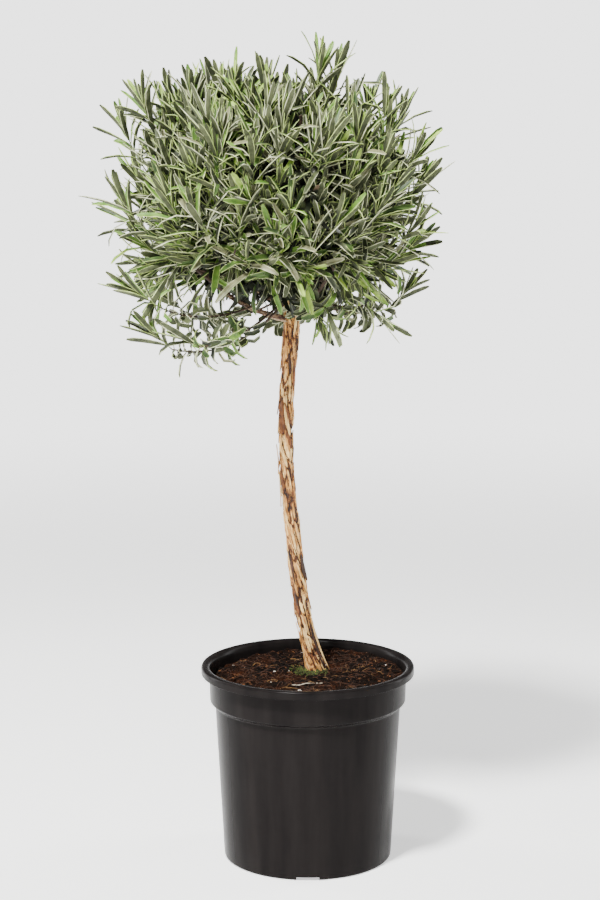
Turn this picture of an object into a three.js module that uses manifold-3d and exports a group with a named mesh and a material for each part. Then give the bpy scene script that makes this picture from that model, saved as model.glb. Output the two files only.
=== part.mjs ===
// Lavender grown as a standard: a ball of grey-green shoots on one bare stem, in a black nursery pot.
// Millimetres, +Z up. The origin is the centre of the pot's flat underside.
//
// A standard is trained for several years. The leader is grown up as a single stem, its side shoots are
// rubbed off, and at the wanted height it is stopped so that it breaks into boughs. The boughs are clipped
// back each summer, so every one ends in a mass of leafy shoots, and the masses together form the ball.
import * as THREE from "three";
import { mergeVertices } from "three/addons/utils/BufferGeometryUtils.js";
import Module from "manifold-3d";

const wasm = await Module();
wasm.setup();

// ---------------------------------------------------------------- driving dimensions

const GAP = 0.3; // clearance between neighbouring solids
const SLIVER = 0.05; // edges shorter than this, which joining leaves, are taken up

// Nursery pot, 19 cm across the rim
const POT_HEIGHT = 175.3;
const RIM_RADIUS = 95;
const RIM_DEPTH = 7.2;
const RIM_ROUND = 1.3;
const POT_WALL = 1.6;
const COLLAR_RADIUS = 88.2; // outside of the straight band under the rim
const COLLAR_FOOT = 143.5;
const COLLAR_DRAFT = 0.9; // how much narrower the band is at its foot, so that it leaves the mould
const SHOULDER_RADIUS = 82.7; // outside of the wall just under the collar
const SHOULDER_HEIGHT = 138;
const FOOT_RADIUS = 75;
const FOOT_WIDTH = 3.5;
const FOOT_ROUND = 1.2;
const FLOOR_LIFT = 5; // the ring-shaped channel in the pot's floor that the drain holes open into
const CHANNEL_SLOPE = 2; // how far the channel's sides slope
const PAD_RADIUS = 42; // the flat pad in the middle of the floor, which stands on the ground
const POT_SIDES = 36;
const NOTCH = { count: 4, width: 20, height: 3 }; // water escapes under the foot through these
const DRAIN = { count: 8, radius: 5.5, circle: 57, sides: 8 };

// Compost
const SOIL_LEVEL = 163; // at the pot's axis
const SOIL_TILT = new THREE.Vector2(0.03, 0.045); // it lies higher to the right and at the back
const SOIL_BUMP = 0.9;
const SOIL_FLAT = { within: 16, until: 34 }; // round the stem it is firmed flat
const SOIL_RINGS = 5;

// Stem, from the compost to its tip inside the ball
const STEM_FOOT = new THREE.Vector3(7, 22, 164.3);
const STEM_LINE = [
  STEM_FOOT,
  new THREE.Vector3(-6, 19, 229),
  new THREE.Vector3(-14.5, 16, 300),
  new THREE.Vector3(-19.6, 13, 370),
  new THREE.Vector3(-17.8, 11, 430),
  new THREE.Vector3(-13.5, 9, 495),
  new THREE.Vector3(-16, 8, 560),
];
const STEM_RADIUS = 6.2;
const STEM_TIP_RADIUS = 3.4;
const STEM_TAPER_FROM = 490; // height at which the boughs start to take their share
const FLARE = { radius: 3.6, height: 26, lobes: 3, lobe: 0.16 };
const STEM_SIDES = 12;
const STEM_STEPS = 24;

// Ball
const BALL_CENTRE = new THREE.Vector3(-28, 8, 594);
const BALL_RADII = new THREE.Vector3(147, 142, 124); // out to the leaf tips
const BALL_SQUARE = 2.7; // 2 is an ellipsoid, and more than that is flatter on top and fuller at the sides
const BALL_SPREAD = { least: 0.92, most: 1.06 }; // how unevenly the clipped shoots have grown on
const BALL_DROOP = 24; // how much lower the shoots on the underside hang
const SKIRT_TOP = 560; // below this the shoots turn down
const LEADER_TIP = new THREE.Vector3(9, 0, 729); // the longest shoot, at the top

// Masses of foliage, ring by ring: how many, where their middles lie and where their boughs leave the stem
const RINGS = [
  { name: "skirt", count: 4, turn: 0.4, out: 78, up: 528, fork: 482, rise: 0.25, radius: 2.6 },
  { name: "middle", count: 5, turn: 0.0, out: 82, up: 592, fork: 506, rise: 0.75, radius: 3.6 },
  { name: "upper", count: 4, turn: 0.2, out: 68, up: 648, fork: 534, rise: 1.4, radius: 3.2 },
  { name: "top", count: 1, turn: 0, out: 0, up: 672, fork: 560, rise: 9, radius: 3.2 },
];
const FORK_STEP = 9; // neighbouring boughs of a ring leave the stem this much higher and lower
// A bough tapers to this share of its radius, and its tip lies so far short of its mass's middle.
const BOUGH = { taper: 0.62, sides: 5, steps: 5, bend: 0.45, short: 30 };

// Shoots and leaves. They are fewer and larger than life, as one stands for several.
const SHOOTS = 75;
const LOWEST_SHOOT = -0.84; // as the sine of its angle below level: round the stem the underside is bare
const SHOOT = { radius: 1.6, tip: 1.2, sides: 3, steps: 3, bend: 0.45, lift: 0.55, droop: 0.35, tries: 12 };
const STALK = { reach: 0.5, first: 0.35, last: 0.95 }; // a mass's own stem, and where shoots leave it
const LEAF = { length: 52, width: 12, keel: 1.5, arch: 0.08, least: 0.86, most: 1.06 };
const LEAF_TRY = { tries: 10, shrink: 0.04 }; // where it doesn't fit it is tried again, each time smaller
const LEAF_ROOM = { root: 0.3, leaf: 3.2, shoot: 2.6 }; // a leaf's clearance, from this share of it on
const LEAF_TURN = { open: 0.25, round: 0.12 }; // how unevenly the leaves are set
const PAIRS = [
  { back: 0.8, splay: 0.3 }, // the newest pair closes round the shoot's tip
  { back: 8, splay: 0.6 },
  { back: 17, splay: 0.95 },
  { back: 28, splay: 1.25 }, // the oldest pair lies out flat
];
const SHORTER = 0.3; // the most that a shoot is shortened by to fit
const LEAFLESS = 0.12; // the share of a shoot next to its foot that has no leaves
const STAGGER = 1.4; // the second leaf of a pair stands this much lower than the first
const CORE = { radius: 20, rough: 0.36, least: 12, skirt: 0.75 };

// ---------------------------------------------------------------- seeded chance

function seeded(seed) {
  let state = seed;
  return () => {
    state = (state + 0x6d2b79f5) | 0;
    let mixed = Math.imul(state ^ (state >>> 15), 1 | state);
    mixed = (mixed + Math.imul(mixed ^ (mixed >>> 7), 61 | mixed)) ^ mixed;
    return ((mixed ^ (mixed >>> 14)) >>> 0) / 4294967296;
  };
}

const chance = seeded(1937);
const between = (low, high) => low + (high - low) * chance();

// ---------------------------------------------------------------- solids

// A closed geometry as a solid that can be joined and cut.
function solidOf(geometry) {
  const bare = new THREE.BufferGeometry();
  bare.setAttribute("position", geometry.getAttribute("position").clone());
  bare.setIndex(geometry.index ? geometry.index.clone() : null);
  const merged = mergeVertices(bare, 1e-3);
  const corners = merged.index.array;
  const kept = [];
  for (let i = 0; i < corners.length; i += 3) {
    const [a, b, c] = corners.slice(i, i + 3);
    if (a !== b && b !== c && a !== c) kept.push(a, b, c);
  }
  const vertProperties = new Float32Array(merged.attributes.position.array);
  return new wasm.Manifold(new wasm.Mesh({ numProp: 3, vertProperties, triVerts: new Uint32Array(kept) }));
}

function geometryOf(solid) {
  const mesh = solid.getMesh();
  const geometry = new THREE.BufferGeometry();
  geometry.setAttribute("position", new THREE.BufferAttribute(mesh.vertProperties, 3));
  geometry.setIndex(new THREE.BufferAttribute(mesh.triVerts, 1));
  geometry.computeVertexNormals();
  return geometry;
}

// Only the largest body of a joined or cut solid: loose scraps go, and a hollow sealed inside it is filled.
function largestBody(solid) {
  return solid.decompose().reduce((most, body) => (body.volume() > most.volume() ? body : most));
}

// A limb: a cylinder bent along a curve, its radius given by how far along it is (0 to 1).
function limb(curve, radiusAt, sides, steps) {
  const geometry = new THREE.CylinderGeometry(1, 1, 1, sides, steps);
  const { normals, binormals } = curve.computeFrenetFrames(steps);
  const corner = geometry.getAttribute("position");
  const spot = new THREE.Vector3();
  for (let i = 0; i < corner.count; i++) {
    const along = corner.getY(i) + 0.5;
    const step = Math.round(along * steps);
    const radius = radiusAt(along);
    curve.getPointAt(step / steps, spot);
    spot.addScaledVector(normals[step], corner.getZ(i) * radius);
    spot.addScaledVector(binormals[step], corner.getX(i) * radius);
    corner.setXYZ(i, spot.x, spot.y, spot.z);
  }
  return geometry;
}

// ---------------------------------------------------------------- pot

function potOutside() {
  const lip = POT_HEIGHT - RIM_DEPTH;
  const footInside = FOOT_RADIUS - FOOT_ROUND - FOOT_WIDTH;
  return [
    [0, 0],
    [PAD_RADIUS, 0],
    [PAD_RADIUS + CHANNEL_SLOPE, FLOOR_LIFT],
    [footInside - CHANNEL_SLOPE, FLOOR_LIFT],
    [footInside, 0],
    [FOOT_RADIUS - FOOT_ROUND, 0],
    [FOOT_RADIUS, 2 * FOOT_ROUND],
    [SHOULDER_RADIUS, SHOULDER_HEIGHT],
    [COLLAR_RADIUS - COLLAR_DRAFT, COLLAR_FOOT],
    [COLLAR_RADIUS, POT_HEIGHT - POT_WALL],
    [RIM_RADIUS - POT_WALL, POT_HEIGHT - POT_WALL],
    [RIM_RADIUS - POT_WALL, lip],
    [RIM_RADIUS, lip],
    [RIM_RADIUS, POT_HEIGHT - RIM_ROUND],
    [RIM_RADIUS - RIM_ROUND, POT_HEIGHT],
  ];
}

// The inside, from the rim down to the middle of the floor, drawn in by a clearance for what fills it.
function potInside(clear) {
  const inward = POT_WALL + clear;
  return [
    [COLLAR_RADIUS - COLLAR_DRAFT - inward, COLLAR_FOOT + POT_WALL],
    [SHOULDER_RADIUS - inward, SHOULDER_HEIGHT + POT_WALL],
    [FOOT_RADIUS - inward, FLOOR_LIFT + inward],
    [PAD_RADIUS + CHANNEL_SLOPE - clear, FLOOR_LIFT + inward],
    [PAD_RADIUS - clear, inward],
    [0, inward],
  ];
}

const turned = (outline, sides) =>
  new THREE.LatheGeometry(outline.map(([radius, height]) => new THREE.Vector2(radius, height)), sides)
    .rotateX(Math.PI / 2);

function pot() {
  const lipInside = [
    [COLLAR_RADIUS - POT_WALL + RIM_ROUND, POT_HEIGHT],
    [COLLAR_RADIUS - POT_WALL, POT_HEIGHT - RIM_ROUND],
  ];
  let shell = solidOf(turned([...potOutside(), ...lipInside, ...potInside(0)], POT_SIDES));
  for (let i = 0; i < NOTCH.count; i++) {
    const notch = new THREE.BoxGeometry(NOTCH.width, FOOT_WIDTH * 4, NOTCH.height * 2);
    notch.translate(0, -FOOT_RADIUS, 0).rotateZ((i * 2 * Math.PI) / NOTCH.count);
    shell = shell.subtract(solidOf(notch));
  }
  for (let i = 0; i < DRAIN.count; i++) {
    const drain = new THREE.CylinderGeometry(DRAIN.radius, DRAIN.radius, FLOOR_LIFT * 4, DRAIN.sides);
    drain.rotateX(Math.PI / 2).translate(DRAIN.circle, 0, 0);
    drain.rotateZ(((i + 0.5) * 2 * Math.PI) / DRAIN.count);
    shell = shell.subtract(solidOf(drain));
  }
  return geometryOf(shell);
}

// ---------------------------------------------------------------- compost

function soilHeight(x, y) {
  const slope = SOIL_TILT.x * x + SOIL_TILT.y * y;
  const bumps = Math.sin(x * 0.13 + 1.1) * Math.cos(y * 0.11) + 0.6 * Math.sin(x * 0.29 + y * 0.23);
  const fromStem = Math.hypot(x - STEM_FOOT.x, y - STEM_FOOT.y);
  const settled = THREE.MathUtils.smoothstep(fromStem, SOIL_FLAT.within, SOIL_FLAT.until);
  const open = SOIL_LEVEL + slope + SOIL_BUMP * bumps;
  return THREE.MathUtils.lerp(STEM_FOOT.z - GAP, open, settled);
}

function soil() {
  const edge = COLLAR_RADIUS - COLLAR_DRAFT - POT_WALL - GAP;
  const side = potInside(GAP).reverse();
  const top = [];
  for (let ring = SOIL_RINGS; ring >= 0; ring--) top.push([(edge * ring) / SOIL_RINGS, SOIL_LEVEL + GAP]);
  const geometry = turned([...side, ...top], POT_SIDES);
  const corner = geometry.getAttribute("position");
  for (let i = 0; i < corner.count; i++) {
    if (corner.getZ(i) < SOIL_LEVEL) continue;
    corner.setZ(i, soilHeight(corner.getX(i), corner.getY(i)));
  }
  return geometryOf(solidOf(geometry));
}

// ---------------------------------------------------------------- stem and boughs

const stemLine = new THREE.CatmullRomCurve3(STEM_LINE, false, "centripetal");
const STEM_TIP = STEM_LINE[STEM_LINE.length - 1];

// The stem's middle at a height. The line rises all the way, so halving finds it.
function stemMiddle(height) {
  let low = 0;
  let high = 1;
  for (let i = 0; i < 24; i++) {
    const half = (low + high) / 2;
    if (stemLine.getPoint(half).z < height) low = half;
    else high = half;
  }
  return stemLine.getPoint(low);
}

function stemRadius(height, turn = 0) {
  const tip = THREE.MathUtils.smoothstep(height, STEM_TAPER_FROM, STEM_TIP.z);
  const flare = Math.exp(-(height - STEM_FOOT.z) / FLARE.height);
  const lobes = 1 + FLARE.lobe * flare * Math.cos(FLARE.lobes * turn);
  return (THREE.MathUtils.lerp(STEM_RADIUS, STEM_TIP_RADIUS, tip) + FLARE.radius * flare) * lobes;
}

// The stem is a stack of level sections, so its cut at the compost is flat.
function stem(swell = 0) {
  const geometry = new THREE.CylinderGeometry(1, 1, 1, STEM_SIDES, STEM_STEPS);
  const corner = geometry.getAttribute("position");
  for (let i = 0; i < corner.count; i++) {
    const share = corner.getY(i) + 0.5;
    const height = THREE.MathUtils.lerp(STEM_FOOT.z, STEM_TIP.z + swell, share);
    const middle = stemMiddle(Math.min(height, STEM_TIP.z));
    const turn = Math.atan2(corner.getX(i), corner.getZ(i));
    const radius = stemRadius(height, turn) + swell;
    corner.setXYZ(i, middle.x + corner.getZ(i) * radius, middle.y + corner.getX(i) * radius, height);
  }
  return geometry;
}

// Every mass with its middle and the curve of the bough that carries it.
function layOutMasses() {
  const masses = [];
  for (const ring of RINGS) {
    for (let i = 0; i < ring.count; i++) {
      const turn = ((i + ring.turn) * 2 * Math.PI) / ring.count;
      const outward = new THREE.Vector3(Math.cos(turn), Math.sin(turn), 0);
      const middle = BALL_CENTRE.clone().setZ(ring.up).addScaledVector(outward, ring.out);
      const from = stemMiddle(Math.min(ring.fork + (i % 2) * FORK_STEP, STEM_TIP.z));
      const away = new THREE.Vector3(middle.x - from.x, middle.y - from.y, 0);
      const leaving = away.clone().normalize();
      leaving.z = ring.rise;
      leaving.normalize();
      const span = from.distanceTo(middle);
      const bend = from.clone().addScaledVector(leaving, span * BOUGH.bend);
      const inward = bend.clone().sub(middle).normalize();
      const tip = middle.clone().addScaledVector(inward, BOUGH.short);
      masses.push({
        name: ring.count > 1 ? `${ring.name}_${i + 1}` : ring.name,
        skirt: ring.name === "skirt",
        radius: ring.radius,
        middle,
        heading: inward.clone().negate(),
        bough: new THREE.QuadraticBezierCurve3(from, bend, tip),
      });
    }
  }
  return masses;
}

const boughRadius = (mass, along) => mass.radius * THREE.MathUtils.lerp(1, BOUGH.taper, along);

// Each bough is cut back by the stem and by the boughs made before it, swollen by the clearance.
// The swollen limbs are given back, for cutting the foliage clear of them.
function growBoughs(masses) {
  const grown = [solidOf(stem(GAP))];
  for (const mass of masses) {
    const shape = (swell) =>
      solidOf(limb(mass.bough, (along) => boughRadius(mass, along) + swell, BOUGH.sides, BOUGH.steps));
    const clear = grown.reduce((left, other) => left.subtract(other), shape(0));
    mass.boughSolid = largestBody(clear);
    grown.push(shape(GAP));
  }
  return grown;
}

// ---------------------------------------------------------------- room for each mass

const masses = layOutMasses();

// A curve as the straight stretches that its limb is made of.
function stretches(curve, steps) {
  const points = curve.getSpacedPoints(steps);
  return points.slice(1).map((point, i) => new THREE.Line3(points[i], point));
}

// Every limb as straight stretches with the radius there, for keeping leaves off the wood.
const wood = [
  ...stretches(stemLine, STEM_STEPS).map((line) => ({ line, radius: stemRadius(line.start.z) })),
  ...masses.flatMap((mass) =>
    stretches(mass.bough, BOUGH.steps).map((line) => ({ line, radius: mass.radius }))),
];
const swollenWood = growBoughs(masses);

// A mass's space is what lies nearer to its middle than to any other, less half the clearance.
function inSpace(point, mass) {
  const half = new THREE.Vector3();
  return masses.every((other) => {
    if (other === mass) return true;
    const across = mass.middle.clone().sub(other.middle).normalize();
    half.addVectors(mass.middle, other.middle).multiplyScalar(0.5);
    return point.clone().sub(half).dot(across) > GAP / 2;
  });
}

// The least distance between two straight lines, taken at points along the first.
function lineGap(line, other) {
  const spot = new THREE.Vector3();
  const near = new THREE.Vector3();
  let least = Infinity;
  for (let share = 0; share <= 1; share += 1 / 8) {
    line.at(share, spot);
    other.closestPointToPoint(spot, true, near);
    least = Math.min(least, near.distanceTo(spot));
  }
  return least;
}

const offWood = (stretch, room) => wood.every(({ line, radius }) => lineGap(stretch, line) > radius + room);

// ---------------------------------------------------------------- shoots and leaves

// A leaf's outline, as shares of its length and half width, then the keel of its underside.
const LEAF_CORNERS = [
  { along: 0, wide: 0, down: 0 },
  { along: 0.5, wide: 1, down: 0 },
  { along: 1, wide: 0.45, down: 0 },
  { along: 1, wide: -0.45, down: 0 },
  { along: 0.5, wide: -1, down: 0 },
  { along: 0.45, wide: 0, down: 1 },
];
const LEAF_TOP = [0, 4, 1, 1, 4, 3, 1, 3, 2];
const LEAF_KEEL = 5;

// A narrow blade with a blunt tip, a flat top and a keeled underside, arched along its length: eight faces.
function leaf(root, heading, upward, size) {
  const length = LEAF.length * size;
  const across = new THREE.Vector3().crossVectors(upward, heading).normalize();
  const corners = LEAF_CORNERS.map(({ along, wide, down }) => {
    const lift = LEAF.arch * length * Math.sin(along * Math.PI) - down * LEAF.keel;
    return root.clone()
      .addScaledVector(heading, along * length)
      .addScaledVector(across, (wide * LEAF.width * size) / 2)
      .addScaledVector(upward, lift);
  });
  const faces = [...LEAF_TOP];
  for (let i = 0; i < LEAF_KEEL; i++) faces.push(i, (i + 1) % LEAF_KEEL, LEAF_KEEL);
  const geometry = new THREE.BufferGeometry().setFromPoints(corners);
  geometry.setIndex(faces);
  const end = corners[2].clone().lerp(corners[3], 0.5);
  const midrib = new THREE.Line3(root.clone(), end);
  const free = new THREE.Line3(root.clone().lerp(end, LEAF_ROOM.root), end);
  return { geometry, corners, midrib, free };
}

// A leaf stays in the mass's space, off the wood and clear of the shoots and leaves that are there already.
function leafFits(blade, mass, shoots, others) {
  if (!blade.corners.every((point) => inSpace(point, mass))) return false;
  if (!offWood(blade.midrib, LEAF.width / 2 + GAP)) return false;
  if (!shoots.every((stretch) => lineGap(blade.free, stretch) > LEAF_ROOM.shoot)) return false;
  return others.every((other) => lineGap(blade.free, other.free) > LEAF_ROOM.leaf);
}

// Leaves stand in pairs, each pair at right angles to the next one down.
function leavesOn(curve, mass, turn, shoots, others) {
  const length = curve.getLength();
  PAIRS.forEach(({ back, splay }, pair) => {
    for (const hand of [0, 1]) {
      const along = 1 - (back + hand * STAGGER) / length;
      if (along < LEAFLESS) continue;
      const root = curve.getPointAt(along);
      const axis = curve.getTangentAt(along);
      const side = new THREE.Vector3(-axis.y, axis.x, 0).normalize();
      for (let attempt = 0; attempt < LEAF_TRY.tries; attempt++) {
        const open = splay * between(1 - LEAF_TURN.open, 1 + LEAF_TURN.open);
        const uneven = attempt * between(-LEAF_TURN.round, LEAF_TURN.round);
        const round = turn + (pair * Math.PI) / 2 + hand * Math.PI + uneven;
        const outward = side.clone().applyAxisAngle(axis, round);
        const heading = axis.clone().multiplyScalar(Math.cos(open)).addScaledVector(outward, Math.sin(open));
        const upward = axis.clone().multiplyScalar(Math.sin(open)).addScaledVector(outward, -Math.cos(open));
        const size = between(LEAF.least, LEAF.most) * (1 - attempt * LEAF_TRY.shrink);
        const blade = leaf(root, heading.normalize(), upward.normalize(), size);
        if (!leafFits(blade, mass, shoots, others)) continue;
        others.push(blade);
        break;
      }
    }
  });
}

// The mass's own stem, which carries on from its bough's tip.
function stalkOf(mass) {
  const start = mass.bough.getPointAt(1).addScaledVector(mass.heading, GAP);
  const end = mass.middle.clone().addScaledVector(mass.heading, BOUGH.short * STALK.reach);
  return new THREE.LineCurve3(start, end);
}

// A shoot leaves its mass's stem, bends upward, or down on the ball's underside, and ends short of the
// ball's outline by its leaves' reach. Where that would take it out of its space, it is tried again,
// straighter and shorter.
function shootTo(target, mass, stalk) {
  const outward = target.clone().sub(BALL_CENTRE).divide(BALL_RADII).normalize();
  const rise = new THREE.Vector3(0, 0, target.z > SKIRT_TOP ? SHOOT.lift : -SHOOT.droop);
  for (let attempt = 0; attempt < SHOOT.tries; attempt++) {
    const straight = attempt / SHOOT.tries;
    const from = stalk.getPointAt(between(STALK.first, STALK.last));
    const direct = target.clone().sub(from).normalize();
    const heading = outward.clone().add(rise).normalize().lerp(direct, straight).normalize();
    const tip = target.clone().addScaledVector(heading, -LEAF.length).lerp(from, straight * SHORTER);
    const bend = tip.clone().addScaledVector(heading, -SHOOT.bend * tip.distanceTo(from));
    const curve = new THREE.QuadraticBezierCurve3(from, bend, tip);
    if (shootFits(curve, mass)) return curve;
  }
  return null;
}

const shootFits = (curve, mass) =>
  stretches(curve, SHOOT.steps).every((line) =>
    inSpace(line.end, mass) && offWood(line, SHOOT.radius + GAP));

// Points spread evenly over the ball, apart from a bare patch round the stem underneath.
function shootTargets() {
  const golden = Math.PI * (3 - Math.sqrt(5));
  const targets = [LEADER_TIP.clone()];
  for (let i = 0; i < SHOOTS; i++) {
    const up = 1 - ((1 - LOWEST_SHOOT) * (i + 0.5)) / SHOOTS;
    const level = Math.sqrt(1 - up * up);
    const square = (level ** BALL_SQUARE + Math.abs(up) ** BALL_SQUARE) ** (-1 / BALL_SQUARE);
    const reach = square * between(BALL_SPREAD.least, BALL_SPREAD.most);
    const target = new THREE.Vector3(Math.cos(i * golden) * level, Math.sin(i * golden) * level, up)
      .multiply(BALL_RADII).multiplyScalar(reach).add(BALL_CENTRE);
    target.z -= BALL_DROOP * Math.max(0, -up) ** 2;
    targets.push(target);
  }
  return targets;
}

const nearestMass = (point) =>
  masses.reduce((best, mass) =>
    mass.middle.distanceTo(point) < best.middle.distanceTo(point) ? mass : best);

// The old wood and shaded leaves inside a mass, too dense to see into: a ragged lump.
function core(mass) {
  const room = masses
    .filter((other) => other !== mass)
    .reduce((least, other) => Math.min(least, mass.middle.distanceTo(other.middle) / 2), Infinity);
  const radius = Math.min(CORE.radius, room / (1 + CORE.rough) - GAP) * (mass.skirt ? CORE.skirt : 1);
  if (radius < CORE.least) return null;
  const bare = new THREE.IcosahedronGeometry(1).deleteAttribute("normal").deleteAttribute("uv");
  const geometry = mergeVertices(bare);
  const corner = geometry.getAttribute("position");
  for (let i = 0; i < corner.count; i++) {
    const reach = radius * between(1 - CORE.rough, 1 + CORE.rough);
    const spot = new THREE.Vector3().fromBufferAttribute(corner, i).multiplyScalar(reach).add(mass.middle);
    corner.setXYZ(i, spot.x, spot.y, spot.z);
  }
  return geometry;
}

function foliage(mass, targets) {
  const stalk = stalkOf(mass);
  const shoots = targets.map((target) => shootTo(target, mass, stalk)).filter(Boolean);
  const lines = shoots.flatMap((shoot) => stretches(shoot, SHOOT.steps));
  const leaves = [];
  shoots.forEach((shoot, i) => leavesOn(shoot, mass, i * 1.1, lines, leaves));
  const radiusAt = (along) => THREE.MathUtils.lerp(SHOOT.radius, SHOOT.tip, along);
  const pieces = [
    limb(stalk, () => mass.radius * BOUGH.taper, BOUGH.sides, 1),
    ...shoots.map((shoot) => limb(shoot, radiusAt, SHOOT.sides, SHOOT.steps)),
    ...leaves.map((blade) => blade.geometry),
  ];
  const middle = core(mass);
  const solids = pieces.map(solidOf);
  if (middle) solids.push(swollenWood.reduce((left, limb) => left.subtract(limb), solidOf(middle)));
  const fused = largestBody(wasm.Manifold.union(solids)).simplify(SLIVER);
  return geometryOf(largestBody(solidOf(geometryOf(fused)))); // merged again: joining doubles some corners
}

// ---------------------------------------------------------------- assembly

const plastic = new THREE.MeshStandardMaterial({ color: 0x2b2a2b, roughness: 0.42, metalness: 0 });
const compost = new THREE.MeshStandardMaterial({ color: 0x3c2216, roughness: 0.95, metalness: 0 });
const bark = new THREE.MeshStandardMaterial({ color: 0xa9825a, roughness: 0.9, metalness: 0 });
const foliageGreen = new THREE.MeshStandardMaterial({ color: 0x6f8460, roughness: 0.75, metalness: 0 });

const plant = new THREE.Group();

function addNode(name, geometry, material) {
  const mesh = new THREE.Mesh(geometry, material);
  mesh.name = name;
  plant.add(mesh);
}

addNode("pot", pot(), plastic);
addNode("soil", soil(), compost);
addNode("trunk", stem(), bark);
for (const mass of masses) addNode(`bough_${mass.name}`, geometryOf(mass.boughSolid), bark);
const targets = shootTargets();
for (const mass of masses) {
  const own = targets.filter((target) => nearestMass(target) === mass);
  addNode(`foliage_${mass.name}`, foliage(mass, own), foliageGreen);
}

export default plant;
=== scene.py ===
# A lavender grown as a standard: a clipped ball of grey-green shoots on one bare stem, in a nursery pot.
# The script follows the plant from the ground up: studio, pot, compost, stem, boughs, foliage.
# Meshes are worked out in millimetres in the frame's own axes, and one function turns them to metres.
import math

import bpy
import numpy as np
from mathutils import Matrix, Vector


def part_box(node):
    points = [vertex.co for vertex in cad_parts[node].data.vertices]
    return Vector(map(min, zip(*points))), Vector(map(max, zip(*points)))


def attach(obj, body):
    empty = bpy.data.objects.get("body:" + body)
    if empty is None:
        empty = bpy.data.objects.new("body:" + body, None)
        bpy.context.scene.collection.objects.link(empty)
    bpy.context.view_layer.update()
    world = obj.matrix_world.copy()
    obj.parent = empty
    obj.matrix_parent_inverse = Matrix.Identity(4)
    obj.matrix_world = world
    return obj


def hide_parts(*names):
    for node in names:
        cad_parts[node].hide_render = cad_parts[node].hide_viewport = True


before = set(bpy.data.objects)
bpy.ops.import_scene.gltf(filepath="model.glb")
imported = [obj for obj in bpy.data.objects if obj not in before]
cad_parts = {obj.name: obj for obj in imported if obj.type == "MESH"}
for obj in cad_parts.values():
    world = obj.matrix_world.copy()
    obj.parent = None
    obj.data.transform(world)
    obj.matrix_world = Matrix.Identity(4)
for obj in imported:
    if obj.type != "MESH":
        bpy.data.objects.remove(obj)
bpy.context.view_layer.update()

# ------------------------------------------------------------------------------------------ studio
# A round white floor in a white room. Lamps under the floor's rim light it from within, so that it fades
# into the walls. Two tall soft boxes stand beside the plant, a strip and one overhead in front of it.
CAMERA_PLACE = (-0.0069, -2.0, 0.710)
CAMERA_DOWN = 9.68  # degrees
LENS, SENSOR = 92.4, 36.0  # millimetres
FLOOR_RADIUS, FLOOR_SIDES = 8.0, 96
FLOOR_WHITE = "#f6f6f4"
GLOW_FROM, GLOW_FULL = 0.8, 2.6  # metres from the pot
POT_GLOW, WALL_GLOW = 0.9, 3.0  # how strongly the floor glows near the pot, and by the walls
WALL_TOP, CEILING_FROM, CEILING = 0.06, 0.14, 0.03  # as heights on a sphere of radius 1, and its strength
SOFT_BOXES = (  # name, place, the point it faces, width and height in metres, watts
    ("strip_front", (-0.85, -1.75, 0.8), (0, 0, 0.45), 0.2, 1.5, 9),
    ("box_left", (-1.5, 0.8, 0.9), (0, 0, 0.4), 0.4, 1.7, 22),
    ("box_right", (1.5, 0.6, 0.9), (0, 0, 0.4), 0.4, 1.7, 22),
    ("box_over", (-0.6, -1.1, 2.2), (0, 0, 0.55), 0.3, 0.3, 168))


def linear(hex_colour):
    """An sRGB hex colour as linear red, green, blue and alpha."""
    parts = [int(hex_colour[i:i + 2], 16) / 255 for i in (1, 3, 5)]
    return [p / 12.92 if p <= 0.04045 else ((p + 0.055) / 1.055) ** 2.4 for p in parts] + [1.0]


def add(tree, kind, inputs=None, stops=None, **settings):
    """Adds a shader node: an input that is given a socket is linked, and any other value is set on it."""
    made = tree.nodes.new("ShaderNode" + kind)
    for name, value in settings.items():
        setattr(made, name, value)
    for name, value in (inputs or {}).items():
        if isinstance(value, bpy.types.NodeSocket):
            tree.links.new(value, made.inputs[name])
        else:
            made.inputs[name].default_value = value
    for place, (share, hex_colour) in enumerate(stops or []):
        ends = made.color_ramp.elements
        stop = ends[place] if place < len(ends) else ends.new(share)
        stop.position = share
        stop.color = linear(hex_colour)
    return made


def finish(name, look):
    """A material. look is given the node tree and gives back the inputs of its one shader."""
    made = bpy.data.materials.new(name)
    made.use_nodes = True
    tree = made.node_tree
    tree.nodes.clear()
    shader = add(tree, "BsdfPrincipled", look(tree))
    add(tree, "OutputMaterial", {"Surface": shader.outputs["BSDF"]})
    return made


def mesh_object(name, shape, finishes, finish_of=None, smooth=True):
    """A mesh object from a shape: its corners in millimetres, and its faces in arrays by number of sides."""
    corners, groups = shape
    sides = np.concatenate([np.full(len(group), group.shape[1]) for group in groups])
    mesh = bpy.data.meshes.new(name)
    mesh.vertices.add(len(corners))
    mesh.vertices.foreach_set("co", (np.asarray(corners) * 0.001).ravel())
    mesh.loops.add(int(sides.sum()))
    mesh.loops.foreach_set("vertex_index", np.concatenate([group.ravel() for group in groups]))
    mesh.polygons.add(len(sides))
    mesh.polygons.foreach_set("loop_start", np.concatenate([[0], np.cumsum(sides)[:-1]]))
    for one in finishes:
        mesh.materials.append(one)
    if finish_of is not None:
        mesh.polygons.foreach_set("material_index", finish_of)
    mesh.polygons.foreach_set("use_smooth", np.full(len(sides), smooth))
    mesh.update(calc_edges=True)
    made = bpy.data.objects.new(name, mesh)
    bpy.context.scene.collection.objects.link(made)
    return made


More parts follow.
